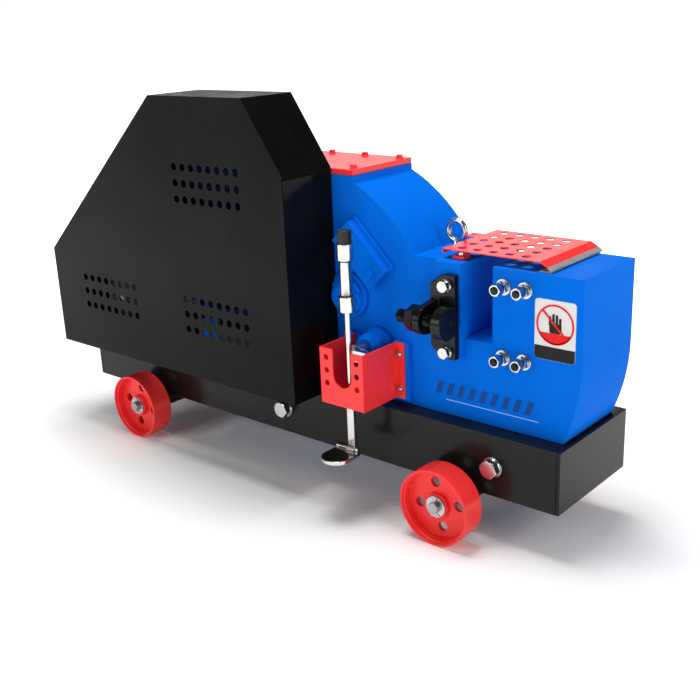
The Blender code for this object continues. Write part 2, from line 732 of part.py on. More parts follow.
def build_belt_guard():
    """A sheet-metal box, open at the back and underneath, with three groups of vent holes in its face."""
    depth = GUARD_BACK - GUARD_FRONT
    inner = inset_outline(GUARD_OUTLINE, GUARD_SHEET)
    middle = (0, (GUARD_FRONT + GUARD_BACK) / 2, 0)
    guard = plate("belt_guard", [GUARD_OUTLINE], middle, depth, finish="black_paint")
    inner[0] = (inner[0][0], GUARD_BOTTOM - 0.010)
    inner[1] = (inner[1][0], GUARD_BOTTOM - 0.010)
    hollow = (0, middle[1] + GUARD_SHEET + 0.005, 0)
    cut(guard, plate("guard_hollow", [inner], hollow, depth + 0.010))
    vents = []
    for left, low in VENT_CORNERS:
        for column in range(VENT_COUNT[0]):
            for row in range(VENT_COUNT[1]):
                centre = (left + column * VENT_PITCH[0], GUARD_FRONT, low + row * VENT_PITCH[1])
                vents.append(cylinder("vent", centre, VENT_RADIUS, 0.020, TURN_TO_Y, sides=8))
    cut(guard, merged("guard_vents", vents))


# ---- Clutch lever, its guide and its pedal ----
def build_lever_guide():
    """A bent plate box, open above, with a U slot and holes in its face, a shelf that steers the lever and a
    flange down each side that is bolted to the housing."""
    low, high = (0.778, -0.074, 0.126), (0.877, 0.0237, 0.231)
    wall = 0.003
    guide = box("lever_guide", low, high, "red_paint")
    inside_low = (low[0] + wall, low[1] + wall, low[2] - 0.010)
    inside_high = (high[0] - wall, high[1] + 0.010, high[2] + 0.010)
    cut(guide, box("guide_inside", inside_low, inside_high))
    for side, (left, right) in {"left": (0.7555, 0.779), "right": (0.876, 0.894)}.items():
        join(guide, box(f"guide_flange_{side}", (left, 0.0207, low[2]), (right, 0.0237, high[2])))
    shelf_low = (low[0] + 0.001, low[1] + 0.001, 0.128)
    join(guide, box("guide_shelf", shelf_low, (high[0] - 0.001, 0.004, 0.133)))
    cut(guide, cylinder("shelf_bore", (LEVER_X, LEVER_Y, 0.130), LEVER_RADIUS + 2 * GAP, 0.030, UPRIGHT))
    centre = (low[0] + high[0]) / 2 + 0.0015
    left, right, top = centre - 0.021, centre + 0.021, 0.300
    slot = [(left, top)] + arc((centre, 0.183), 0.021, 180, 360, 13) + [(right, top)]
    cut(guide, plate("guide_slot", [slot], (0, low[1], 0), 0.020))
    holes = []
    for side in (-1, 1):
        for row in range(3):
            place = (centre - 0.0015 + side * 0.0345, low[1], 0.1655 + 0.0242 * row)
            holes.append(cylinder("guide_hole", place, 0.0055, 0.020, TURN_TO_Y, sides=14))
    cut(guide, merged("guide_holes", holes))


def build_lever():
    """A rod that is pushed down, with a driver for the clutch, a grip and knob, and an eye for the pedal."""
    foot = 0.112
    top = 0.4200
    middle = (LEVER_X, LEVER_Y, (foot + top) / 2)
    lever = cylinder("lever_rod", middle, LEVER_RADIUS, top - foot, UPRIGHT, "chrome", sides=20)
    low = (LEVER_X - 0.0075, LEVER_Y - 0.004, PEDAL_AXIS_Z + 0.004)
    join(lever, box("lever_bar", low, (LEVER_X + 0.0075, LEVER_Y + 0.004, 0.118)))
    eye = (LEVER_X, LEVER_Y, PEDAL_AXIS_Z)
    join(lever, cylinder("lever_eye", eye, 0.0095, 0.015, TURN_TO_X, sides=20))
    cut(lever, cylinder("eye_bore", eye, 0.0053, 0.030, TURN_TO_X, sides=16))

    bore = LEVER_RADIUS + GAP
    profile = [
        (bore, 0.4203),
        (0.0130, 0.4203),
        (0.0142, 0.4190),
        (0.0142, 0.3915),
        (0.0130, 0.3904),
        (0.0104, 0.3900),
        (0.0104, 0.3275),
        (0.0130, 0.3272),
        (0.0142, 0.3260),
        (0.0142, 0.3000),
        (0.0132, 0.2988),
        (bore, 0.2988),
    ]
    turned("lever_grip", profile, (LEVER_X, LEVER_Y, 0), UPRIGHT, "chrome", steps=28)
    profile = [
        (0, 0.4425),
        (0.0100, 0.4423),
        (0.0120, 0.4405),
        (0.0120, 0.4206),
        (0, 0.4206),
    ]
    turned("lever_knob", profile, (LEVER_X, LEVER_Y, 0), UPRIGHT, "rubber", steps=28)

    low = (LEVER_X - 0.004, LEVER_Y + 0.001, CLUTCH_Z - 0.010)
    high = (LEVER_X + 0.036, LEVER_Y + 0.013, CLUTCH_Z + 0.0105)
    join(lever, box("lever_driver", low, high))
    low = (LEVER_X + 0.0172, LEVER_Y - 0.020, CLUTCH_Z - 0.0046)
    cut(lever, box("driver_slot", low, (LEVER_X + 0.0308, LEVER_Y + 0.020, CLUTCH_Z + 0.0046)))


def build_clutch():
    """A shaft through a boss on the housing, with an arm that the lever's slotted driver turns."""
    profile = [
        (0.0114, 0.0015),
        (0.0255, 0.0015),
        (0.0255, -0.0180),
        (0.0310, -0.0200),
        (0.0310, -0.0317),
        (0.0114, -0.0317),
    ]
    place = (LEVER_X, 0.0020, CLUTCH_Z)
    turned("clutch_boss", profile, place, STAND_UP, "blue_paint", steps=32)
    shaft = cylinder("clutch_shaft", (LEVER_X, 0.004, CLUTCH_Z), 0.011, 0.088, TURN_TO_Y, "steel")
    loop = arc((0, 0), 0.0155, 90, 270, 9) + arc((CLUTCH_ARM, 0), 0.008, -90, 90, 7)
    arm = plate("clutch_arm", [loop], (LEVER_X, -0.037, CLUTCH_Z), 0.006)
    join(shaft, arm)
    pin = (LEVER_X + CLUTCH_ARM, -0.046, CLUTCH_Z)
    join(shaft, cylinder("clutch_pin", pin, 0.004, 0.016, TURN_TO_Y, sides=14))


def build_pedal():
    """A D-shaped tread that folds up about the pin through the lever's eye."""
    left, right = PEDAL_X - 0.029 - LEVER_X, PEDAL_X + 0.029 - LEVER_X
    middle = PEDAL_X - LEVER_X
    front = PEDAL_TIP - LEVER_Y + 0.029
    loop = [(left + 0.006, 0.004), (left, front)]
    loop += arc((middle, front), 0.029, 180, 360, 17)[1:-1]
    loop += [(right, front), (right - 0.006, 0.004), (0.0082, 0.004)]
    loop += [(0.0082, -0.012), (-0.0082, -0.012), (-0.0082, 0.004)]
    place = (LEVER_X, LEVER_Y, PEDAL_AXIS_Z - 0.0062)
    pedal = plate("pedal", [loop], place, 0.0072, UPRIGHT, "chrome")
    place = (PEDAL_X - 0.003, LEVER_Y, PEDAL_AXIS_Z)
    join(pedal, cylinder("pedal_pin", place, 0.005, 0.050, TURN_TO_X, sides=16))


# ---- Stop, brackets and fixings ----
def build_stop():
    """A black bracket that holds an adjustable round stop for the bar, beside the slot."""
    back = 0.022 - GAP
    front = 0.010
    outline = [
        (0.984, 0.225),
        (1.0115, 0.225),
        (1.0115, 0.372),
        (0.986, 0.372),
        (0.9615, 0.355),
        (0.9615, 0.2435),
    ]
    place = (0, (front + back) / 2, 0)
    bracket = plate("stop_bracket", [outline], place, back - front, finish="cast_iron")
    y, z = STOP_AXIS
    lug = [(0.016, z + 0.030)] + arc((y, z), 0.025, 90, 270, 13) + [(0.016, z - 0.030)]
    join(bracket, plate("stop_lug", [lug], (0.9717, 0, 0), 0.0136, LIE_ALONG_X))
    holes = [cylinder("screw_hole", (0.9717, y, z), 0.0117, 0.060, TURN_TO_X)]
    for bolt_z in (0.354, 0.2375):
        holes.append(cylinder("bolt_hole", (0.993, front, bolt_z), 0.0063, 0.060, TURN_TO_Y, sides=16))
    cut(bracket, merged("stop_holes", holes))

    screw = cylinder("stop_screw", (0.966, y, z), 0.0113, 0.090, TURN_TO_X, "cast_iron")
    head = cylinder("stop_head", (1.0140, y, z), 0.0285, 0.0190, TURN_TO_X, sides=40)
    join(screw, head)
    nut = cylinder("stop_nut", (0.9535, y, z), 0.0235, 0.017, TURN_TO_X, "cast_iron", sides=6)
    join(nut, cylinder("nut_face", (0.9630, y, z), 0.0190, 0.0030, TURN_TO_X, sides=28))
    cut(nut, cylinder("nut_bore", (0.955, y, z), 0.0117, 0.060, TURN_TO_X))
    for name, bolt_z in {"upper": 0.354, "lower": 0.2375}.items():
        hex_bolt(f"stop_bolt_{name}", (0.993, front - GAP, bolt_z), 0.006, 0.019, 0.008, 0.012, 0.011)


def hex_bolt(name, seat, shank, across, head, washer, depth):
    """A bolt and its washer, seen from the front. The seat is the middle of the face it is tightened on."""
    x, y, z = seat
    bolt = cylinder(name, (x, y + depth / 2 - 0.002, z), shank, depth + 0.004, TURN_TO_Y, "chrome", sides=16)
    join(bolt, cylinder(name + "_washer", (x, y - 0.0012, z), washer, 0.0024, TURN_TO_Y, sides=24))
    corner = across / math.sqrt(3)
    join(bolt, cylinder(name + "_head", (x, y - 0.002 - head / 2, z), corner, head, TURN_TO_Y, sides=6))
    return bolt


def build_frame_bolts():
    for side, (x, z) in zip(("left", "right"), BODY_BOLTS):
        hex_bolt(f"front_{side}_frame_bolt", (x, -GAP, z), 0.010, 0.030, 0.013, 0.018, 0.034)
        bolt = hex_bolt(f"rear_{side}_frame_bolt", (x, -GAP, z), 0.010, 0.030, 0.013, 0.018, 0.034)
        for piece in [bolt] + [m.object for m in bolt.modifiers]:
            piece.location.y = 2 * bench(0, FRAME_WIDTH / 2, 0).y - piece.location.y


def build_head_fixings():
    for i, (x, z) in enumerate(BLADE_STUDS):
        stud = cylinder(f"blade_stud_{i + 1}", (x, 0.031, z), 0.0066, 0.054, TURN_TO_Y, "chrome", sides=16)
        join(stud, cylinder(f"stud_nut_{i + 1}", (x, 0.021, z), 0.0116, 0.020, TURN_TO_Y, sides=6))
        join(stud, cylinder(f"stud_washer_{i + 1}", (x, 0.0322, z), 0.0135, 0.0028, TURN_TO_Y))
    x, y = EYE_BOLT
    loop_centre = HEAD_TOP + 0.0300
    outer, inner = ring((0, 0), 0.0228, 32), ring((0, 0), 0.0128, 28)
    eye = plate("eye_bolt", [outer, inner], (x, y, loop_centre), 0.009, STAND_UP, "chrome")
    profile = [
        (0, 0.012),
        (0.0065, 0.012),
        (0.0080, 0.003),
        (0.0110, 0.003),
        (0.0110, GAP),
        (0.0060, GAP),
        (0.0060, -0.022),
        (0, -0.022),
    ]
    join(eye, turned("eye_shank", profile, (x, y, HEAD_TOP), UPRIGHT, steps=20))


def build_angle_bracket():
    """A folded bracket at 45 degrees, of one section: a face held off the housing, a web and a foot."""
    face, web, foot, sheet = 0.055, 0.005, 0.009, 0.006
    depth = BODY_FRONT - GAP - 0.014
    section = [
        (-face, 0),
        (0, 0),
        (0, sheet - depth),
        (foot, sheet - depth),
        (foot, -depth),
        (-web, -depth),
        (-web, -sheet),
        (-face, -sheet),
    ]
    across, outwards, along = Vector((1, 0, 1)), Vector((0, -1, 0)), Vector((1, 0, -1))
    turn = Matrix((across.normalized(), outwards, along.normalized())).transposed().to_euler()
    place = (0.8205, 0.014, 0.3995)
    plate("angle_bracket", [section], place, 0.1174, turn, "blue_paint")


def build_blade_guard():
    """A perforated cover over the slot. It is hinged at its right and rests on two lugs at its left."""
    hinge_x, hinge_z = BLADE_GUARD_HINGE
    front, rear = 0.043, 0.213
    sheet = 0.0025
    top, left = BLADE_GUARD_TOP, BLADE_GUARD_LEFT
    outline = [
        (left, top),
        (left, 0.3995),
        (left + sheet, 0.3995),
        (left + sheet, top - sheet),
        (1.1500, top - sheet),
        (1.1630, 0.3981),
        (1.1655, 0.4000),
        (1.1510, top),
    ]
    outline = [(x - hinge_x, z - hinge_z) for x, z in outline]
    place = (hinge_x, (front + rear) / 2, hinge_z)
    guard = plate("blade_guard", [outline], place, rear - front, finish="red_paint")
    join(guard, box("guard_tab", (0.940, 0.142, top - sheet), (left + 0.004, 0.172, top - 0.0001)))
    knuckle = (0.0800, 0.1680)
    middle = (hinge_x, sum(knuckle) / 2, hinge_z)
    length = knuckle[1] - knuckle[0]
    web = [(-0.0090, 0.0060), (-0.0005, 0.0005), (-0.0022, -0.0020), (-0.0103, 0.0056)]
    join(guard, plate("guard_web", [web], middle, length))
    join(guard, cylinder("guard_knuckle", middle, 0.0032, length, TURN_TO_Y, sides=16))
    join(guard, cylinder("guard_pin", middle, 0.0015, 0.158, TURN_TO_Y, sides=10))
    holes = []
    for column in range(5):
        for row in range(5):
            place = (0.992 + 0.0308 * column, 0.062 + 0.0327 * row, top)
            holes.append(cylinder("hole", place, 0.007, 0.012, UPRIGHT, sides=12))
    holes.append(cylinder("hole", (0.952, 0.157, top), 0.0045, 0.012, UPRIGHT, sides=12))
    cut(guard, merged("guard_holes", holes))
    for name, y in {"front": 0.043, "rear": 0.183}.items():
        low, high = (0.984, y, HEAD_TOP + GAP), (1.006, y + 0.022, 0.3975)
        box(f"{name}_rest_lug", low, high, "red_paint", bevel=0.0008)
    leaf_top = HEAD_TOP + 0.0022
    leaf = box("guard_hinge_leaf", (1.150, front, HEAD_TOP + GAP), (1.1655, 0.205, leaf_top), "grey_steel")
    ends = {"front": (front, knuckle[0] - GAP), "rear": (knuckle[1] + GAP, 0.205)}
    for name, (near, far) in ends.items():
        low = (1.1650, near, HEAD_TOP + GAP)
        join(leaf, box(f"leaf_{name}", low, (hinge_x + 0.001, far, leaf_top)))
        centre = (hinge_x, (near + far) / 2, hinge_z)
        join(leaf, cylinder(f"leaf_knuckle_{name}", centre, 0.0032, far - near, TURN_TO_Y, sides=16))
        cut(leaf, cylinder(f"leaf_bore_{name}", centre, 0.0018, 0.120, TURN_TO_Y, sides=12))


# ---- The whole machine ----
clear_scene()
MACHINE = new_collection("rebar_cutter")
CUTTERS = new_collection("cutters")
build_frame()
build_running_gear()
build_housing()
build_housing_covers()
build_drive()
build_shafts()
build_ram()
build_motor()
build_belt_guard()
build_lever_guide()
build_lever()
build_clutch()
build_pedal()
build_stop()
build_frame_bolts()
build_head_fixings()
build_angle_bracket()
build_blade_guard()
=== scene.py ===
"""The rebar cutter's visual model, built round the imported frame.

Places are given in bench coordinates, as in the CAD source: X from the frame's left end, Y from the face of
the front rail, Z from the underside of the frame. bench() turns them into the row frame.
"""

import json
import math

import bmesh
import bpy
from mathutils import Matrix, Vector


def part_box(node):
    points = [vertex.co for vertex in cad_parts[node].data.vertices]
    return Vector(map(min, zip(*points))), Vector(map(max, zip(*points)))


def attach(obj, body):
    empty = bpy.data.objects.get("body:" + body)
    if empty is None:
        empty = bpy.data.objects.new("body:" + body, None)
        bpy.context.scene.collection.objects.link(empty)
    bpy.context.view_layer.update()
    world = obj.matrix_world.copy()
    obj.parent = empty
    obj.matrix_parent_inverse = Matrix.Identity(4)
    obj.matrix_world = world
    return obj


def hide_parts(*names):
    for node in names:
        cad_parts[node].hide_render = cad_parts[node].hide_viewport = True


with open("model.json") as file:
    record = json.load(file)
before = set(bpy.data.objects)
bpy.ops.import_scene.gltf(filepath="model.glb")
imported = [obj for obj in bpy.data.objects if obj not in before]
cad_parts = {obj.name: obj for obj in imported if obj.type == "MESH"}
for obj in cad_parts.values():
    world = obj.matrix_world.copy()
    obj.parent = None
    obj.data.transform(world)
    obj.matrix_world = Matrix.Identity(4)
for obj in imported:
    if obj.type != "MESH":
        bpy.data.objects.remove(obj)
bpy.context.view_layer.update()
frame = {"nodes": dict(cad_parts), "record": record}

ORIGIN = Vector((0.61725, 0.1135, -0.087))
NODE_BODY = {n: b for b, ns in frame["record"]["behaviour"]["bodies"].items() for n in ns}


def bench(x, y, z):
    return Vector((x, y, z)) - ORIGIN


def cad_box(node):
    """A CAD node's corners and middle, in bench coordinates."""
    low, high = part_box(node)
    low, high = low + ORIGIN, high + ORIGIN
    return low, high, (low + high) / 2


# ---------------------------------------------------------------- materials
class Nodes:
    """Short hand for a material's node tree."""

    def __init__(self, name):
        self.material = bpy.data.materials.new(name)
        self.material.use_nodes = True
        self.tree = self.material.node_tree
        self.shader = self.tree.nodes["Principled BSDF"]
        self.coords = self.tree.nodes.new("ShaderNodeTexCoord").outputs["Object"]

    def add(self, kind, **values):
        node = self.tree.nodes.new("ShaderNode" + kind)
        for key, value in values.items():
            if key in node.inputs:
                node.inputs[key].default_value = value
            else:
                setattr(node, key, value)
        return node

    def link(self, source, target):
        self.tree.links.new(source, target)

    def noise(self, scale, detail=3.0, roughness=0.55, stretch=None):
        node = self.add("TexNoise")
        node.inputs["Scale"].default_value = scale
        node.inputs["Detail"].default_value = detail
        node.inputs["Roughness"].default_value = roughness
        source = self.coords
        if stretch:
            mapping = self.add("Mapping")
            mapping.inputs["Scale"].default_value = stretch
            self.link(self.coords, mapping.inputs["Vector"])
            source = mapping.outputs["Vector"]
        self.link(source, node.inputs["Vector"])
        return node.outputs["Fac"]

    def ramp(self, source, stops):
        node = self.add("ValToRGB")
        elements = node.color_ramp.elements
        while len(elements) < len(stops):
            elements.new(0.5)
        for element, (place, colour) in zip(elements, stops):
            element.position = place
            element.color = (*colour, 1.0) if len(colour) == 3 else colour
        self.link(source, node.inputs["Fac"])
        return node.outputs["Color"]

    def spread(self, source, low, high, start=0.3, end=0.7):
        node = self.add("MapRange")
        node.inputs["From Min"].default_value = start
        node.inputs["From Max"].default_value = end
        node.inputs["To Min"].default_value = low
        node.inputs["To Max"].default_value = high
        self.link(source, node.inputs["Value"])
        return node.outputs["Result"]

    def bump(self, source, strength, distance=0.001, after=None):
        node = self.add("Bump")
        node.inputs["Strength"].default_value = strength
        node.inputs["Distance"].default_value = distance
        self.link(source, node.inputs["Height"])
        if after is not None:
            self.link(after, node.inputs["Normal"])
        return node.outputs["Normal"]


def mix(colour, other, amount):
    return tuple(a + (b - a) * amount for a, b in zip(colour, other))


def paint(name, colour, rough=(0.20, 0.30), peel=0.04, coat=0.0, cast=0.0, metallic=0.0, shine=0.4):
    """Sprayed paint: faint mottling, orange peel, dust in patches, and a cast skin where asked."""
    n = Nodes(name)
    patches = n.noise(6.0, 4.0)
    tone = n.ramp(patches, [(0.30, mix(colour, (0, 0, 0), 0.05)), (0.70, mix(colour, (1, 1, 1), 0.004))])
    n.link(tone, n.shader.inputs["Base Color"])
    smears = n.noise(22.0, 6.0, 0.62, (1.0, 1.0, 0.4))
    n.link(n.spread(smears, *rough), n.shader.inputs["Roughness"])
    normal = n.bump(n.noise(420.0, 2.0), peel, 0.0006)
    if cast:
        normal = n.bump(n.noise(95.0, 5.0, 0.6), cast, 0.0012, normal)
    n.link(normal, n.shader.inputs["Normal"])
    n.shader.inputs["Metallic"].default_value = metallic
    n.shader.inputs["Specular IOR Level"].default_value = shine
    n.shader.inputs["Coat Weight"].default_value = coat
    n.shader.inputs["Coat Roughness"].default_value = 0.06
    return n.material


def metal(name, colour, rough=(0.14, 0.30), grain=0.10, stretch=(1.0, 1.0, 1.0), scale=180.0, metallic=1.0):
    """Bare or plated metal: uneven polish with fine marks along the grain."""
    n = Nodes(name)
    marks = n.noise(scale, 5.0, 0.65, stretch)
    tone = n.ramp(n.noise(14.0, 4.0), [(0.3, mix(colour, (0, 0, 0), 0.16)), (0.7, colour)])
    n.link(tone, n.shader.inputs["Base Color"])
    n.link(n.spread(marks, *rough), n.shader.inputs["Roughness"])
    n.link(n.bump(marks, grain, 0.0004), n.shader.inputs["Normal"])
    n.shader.inputs["Metallic"].default_value = metallic
    return n.material


def rubbery(name, colour, rough=(0.45, 0.7), scale=260.0):
    n = Nodes(name)
    grain = n.noise(scale, 4.0, 0.6)
    stops = [(0.3, mix(colour, (0, 0, 0), 0.25)), (0.7, mix(colour, (1, 1, 1), 0.03))]
    tone = n.ramp(n.noise(18.0, 4.0), stops)
    n.link(tone, n.shader.inputs["Base Color"])
    n.link(n.spread(grain, *rough), n.shader.inputs["Roughness"])
    n.link(n.bump(grain, 0.25, 0.0005), n.shader.inputs["Normal"])
    n.shader.inputs["Specular IOR Level"].default_value = 0.2
    return n.material


MAT = {
    "black": paint("black_gloss_paint", (0.0016, 0.0016, 0.0018), (0.11, 0.17), 0.02, shine=0.07),
    "frame": paint("frame_black_paint", (0.006, 0.006, 0.006), (0.18, 0.26), 0.03, shine=0.2),
    "blue": paint("blue_gloss_paint", (0.0, 0.145, 0.72), (0.26, 0.36), 0.03, cast=0.03, shine=0.004),
    "red": paint("red_gloss_paint", (0.96, 0.034, 0.034), (0.24, 0.34), 0.03, shine=0.32),
    # painted shade: the flywheel's blue is darkened to stand in for the shade inside the belt guard
    "painted_shade_blue": paint("flywheel_painted_shade_paint", (0.0, 0.012, 0.110), (0.3, 0.45), 0.05, cast=0.1, shine=0.05),
    "grey": paint("motor_grey_paint", (0.055, 0.065, 0.075), (0.3, 0.45), 0.10, cast=0.12),
    "zinc": metal("zinc_plate", (0.60, 0.60, 0.60), (0.16, 0.26), 0.015),
    "chrome": metal("polished_steel", (0.68, 0.65, 0.62), (0.10, 0.24), 0.07, (1.0, 1.0, 0.15)),
    "steel": metal("machined_steel", (0.42, 0.42, 0.43), (0.25, 0.42), 0.12),
    "blade": metal("ground_blade_steel", (0.36, 0.37, 0.40), (0.2, 0.36), 0.15, (0.15, 1.0, 1.0)),
    "oxide": paint("black_stop_enamel", (0.003, 0.003, 0.0035), (0.14, 0.26), 0.05, shine=0.22),
    "iron": metal("cast_iron_skin", (0.05, 0.05, 0.053), (0.45, 0.65), 0.5, scale=120.0, metallic=0.5),
    "rubber": rubbery("black_rubber", (0.014, 0.014, 0.014)),
    "belt": rubbery("belt_rubber", (0.02, 0.02, 0.021), (0.5, 0.75), 500.0),
    "strip": paint("bare_hinge_steel", (0.36, 0.36, 0.355), (0.35, 0.5), 0.05, metallic=0.2, shine=0.3),
    "plastic": rubbery("black_grip_plastic", (0.012, 0.012, 0.013), (0.28, 0.42)),
}


# ---------------------------------------------------------------- mesh tools
def finish_piece(obj, finish, body, replaced=()):
    """Gives a piece its finish, and lets it ride on its body."""
    obj.data.materials.clear()
    obj.data.materials.append(MAT[finish])
    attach(obj, body)
    if replaced:
        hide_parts(*replaced)
    return obj


def smooth(mesh, degrees=38):
    mesh.shade_smooth()
    mesh.set_sharp_from_angle(angle=math.radians(degrees))


def soften(obj, width, segments=2, degrees=40):
    """Small rounded edges that catch the light."""
    bevel = obj.modifiers.new("edges", "BEVEL")
    bevel.width = width
    bevel.segments = segments
    bevel.limit_method = "ANGLE"
    bevel.angle_limit = math.radians(degrees)
    bevel.use_clamp_overlap = True
    bevel.harden_normals = False
    weighted = obj.modifiers.new("normals", "WEIGHTED_NORMAL")
    weighted.keep_sharp = True
    return obj


def from_bmesh(name, shape, degrees=38):
    """Turns a shape into an object in the scene, and frees the shape."""
    bmesh.ops.recalc_face_normals(shape, faces=shape.faces)
    mesh = bpy.data.meshes.new(name)
    shape.to_mesh(mesh)
    shape.free()
    smooth(mesh, degrees)
    obj = bpy.data.objects.new(name, mesh)
    bpy.context.scene.collection.objects.link(obj)
    return obj


def circle_of(shape, radius, height, sides):
    """New vertices on a circle about the shape's own Z axis."""
    angles = [2 * math.pi * i / sides for i in range(sides)]
    return [shape.verts.new((radius * math.cos(a), radius * math.sin(a), height)) for a in angles]


def bridge(shape, near, far):
    """Faces between two closed rows that have as many vertices."""
    for i in range(len(near)):
        j = (i + 1) % len(near)
        shape.faces.new((near[i], near[j], far[j], far[i]))


def place(obj, centre, axis="Z"):
    """Turns a piece built along +Z so that it runs along an axis, and puts it at a bench point."""
    turns = {
        "Z": Matrix.Identity(4),
        "-Z": Matrix.Rotation(math.pi, 4, "X"),
        "Y": Matrix.Rotation(-math.pi / 2, 4, "X"),
        "-Y": Matrix.Rotation(math.pi / 2, 4, "X"),
        "X": Matrix.Rotation(math.pi / 2, 4, "Y"),
        "-X": Matrix.Rotation(-math.pi / 2, 4, "Y"),
    }
    obj.matrix_world = Matrix.Translation(bench(*centre)) @ turns[axis]
    return obj


ON_AXIS = 1e-6


def lathe(name, profile, centre, axis, finish, body, replaced=(), steps=72, degrees=30):
    """A turned shape. The (radius, height) profile starts and ends on the axis, or is a closed ring."""
    shape = bmesh.new()
    rings = []
    for radius, height in profile:
        if radius <= ON_AXIS:
            rings.append([shape.verts.new((0, 0, height))])
        else:
            rings.append(circle_of(shape, radius, height, steps))
    pairs = list(zip(rings, rings[1:]))
    if all(len(ring) > 1 for ring in rings):
        pairs.append((rings[-1], rings[0]))
    for near, far in pairs:
        if len(near) == len(far):
            if len(near) > 1:
                bridge(shape, near, far)
            continue
        for i in range(steps):
            j = (i + 1) % steps
            if len(near) == 1:
                shape.faces.new((near[0], far[i], far[j]))
            else:
                shape.faces.new((near[i], near[j], far[0]))
    obj = from_bmesh(name, shape, degrees)
    place(obj, centre, axis)
    return finish_piece(obj, finish, body, replaced)


def rounded(profile, radius, steps=3):
    """A profile with every inner corner rounded."""
    points = [profile[0]]
    for before, here, after in zip(profile, profile[1:], profile[2:]):
        p, h, a = Vector(before), Vector(here), Vector(after)
        reach = min(radius, (p - h).length * 0.45, (a - h).length * 0.45)
        start = h + (p - h).normalized() * reach
        end = h + (a - h).normalized() * reach
        for i in range(steps + 1):
            t = i / steps
            spot = start * (1 - t) ** 2 + h * 2 * t * (1 - t) + end * t**2
            points.append((max(spot.x, 0.0), spot.y))
    points.append(profile[-1])
    return points


def mesh_of_curve(name, curve):
    """The mesh that a curve makes, as a shape with its doubled vertices merged."""
    holder = bpy.data.objects.new(name, curve)
    bpy.context.scene.collection.objects.link(holder)
    bpy.context.view_layer.update()
    graph = bpy.context.evaluated_depsgraph_get()
    mesh = bpy.data.meshes.new_from_object(holder.evaluated_get(graph))
    bpy.data.objects.remove(holder)
    shape = bmesh.new()
    shape.from_mesh(mesh)
    bpy.data.meshes.remove(mesh)
    bmesh.ops.remove_doubles(shape, verts=shape.verts, dist=1e-6)
    return shape


def flat_plate(name, loops, thickness):
    """A flat plate in its own XY plane, centred on it, with holes, from a filled 2D curve."""
    curve = bpy.data.curves.new(name, "CURVE")
    curve.dimensions = "2D"
    curve.fill_mode = "BOTH"
    curve.extrude = thickness / 2
    for loop in loops:
        spline = curve.splines.new("POLY")
        spline.points.add(len(loop) - 1)
        for point, (x, y) in zip(spline.points, loop):
            point.co = (x, y, 0, 1)
        spline.use_cyclic_u = True
    shape = mesh_of_curve(name, curve)
    bmesh.ops.dissolve_limit(shape, angle_limit=0.01, verts=shape.verts, edges=shape.edges)
    return from_bmesh(name, shape)


FLAT = {
    "XZ": Matrix(((1, 0, 0, 0), (0, 0, -1, 0), (0, 1, 0, 0), (0, 0, 0, 1))),
    "YZ": Matrix(((0, 0, 1, 0), (1, 0, 0, 0), (0, 1, 0, 0), (0, 0, 0, 1))),
    "XY": Matrix.Identity(4),
}


def sheet(name, loops, plane, level, thickness, finish, body, replaced=(), edge=0.0006, segments=2):
    """A plate whose outline is in bench coordinates of a plane, centred on a level of the third axis."""
    obj = flat_plate(name, loops, thickness)
    offset = {"XZ": (0, level, 0), "YZ": (level, 0, 0), "XY": (0, 0, level)}[plane]
    obj.matrix_world = Matrix.Translation(bench(*offset)) @ FLAT[plane]
    if edge:
        soften(obj, edge, segments)
    return finish_piece(obj, finish, body, replaced)


def block(name, low, high, finish, body, edge, segments=3):
    """A box between two bench corners, with softened edges."""
    shape = bmesh.new()
    bmesh.ops.create_cube(shape, size=1.0)
    low, high = Vector(low), Vector(high)
    bmesh.ops.scale(shape, vec=high - low, verts=shape.verts)
    obj = from_bmesh(name, shape)
    obj.matrix_world = Matrix.Translation(bench(*((low + high) / 2)))
    soften(obj, edge, segments)
    return finish_piece(obj, finish, body)


def prism(name, section, near, far, finish, body):
    """An XZ section in bench coordinates, carried from one Y to another."""
    shape = bmesh.new()
    rows = [[shape.verts.new(bench(x, y, z)) for x, z in section] for y in (near, far)]
    bridge(shape, *rows)
    shape.faces.new(rows[0])
    shape.faces.new(list(reversed(rows[1])))
    obj = from_bmesh(name, shape, 30)
    soften(obj, 0.0004, 2, 30)
    return finish_piece(obj, finish, body)


def refined(node, finish, edge=0.0008, segments=2, degrees=40):
    """A CAD node's own shape: flat faces made whole, round faces smooth and edges softened."""
    source = frame["nodes"][node].data
    shape = bmesh.new()
    shape.from_mesh(source)
    bmesh.ops.remove_doubles(shape, verts=shape.verts, dist=2e-6)
    bmesh.ops.dissolve_limit(shape, angle_limit=math.radians(0.4), verts=shape.verts, edges=shape.edges)
    obj = from_bmesh(node + "_finished", shape, 33)
    soften(obj, edge, segments, degrees)
    return finish_piece(obj, finish, NODE_BODY[node], (node,))


def tube(name, points, radius, finish, body, cyclic=False, resolution=6):
    """A round rod or wire along bench points."""
    curve = bpy.data.curves.new(name, "CURVE")
    curve.dimensions = "3D"
    curve.bevel_depth = radius
    curve.bevel_resolution = resolution
    curve.use_fill_caps = not cyclic
    spline = curve.splines.new("POLY")
    spline.points.add(len(points) - 1)
    for target, point in zip(spline.points, points):
        target.co = (*bench(*point), 1)
    spline.use_cyclic_u = cyclic
    spline.use_smooth = True
    obj = from_bmesh(name, mesh_of_curve(name, curve), 50)
    return finish_piece(obj, finish, body)


def arc(centre, radius, start, end, count):
    step = (end - start) / (count - 1)
    angles = [math.radians(start + step * i) for i in range(count)]
    return [(centre[0] + radius * math.cos(a), centre[1] + radius * math.sin(a)) for a in angles]


def circle(centre, radius, sides):
    return arc(centre, radius, 0, 360, sides + 1)[:-1]


HEX_SIDES = 72
CHAMFER_STEPS = 5


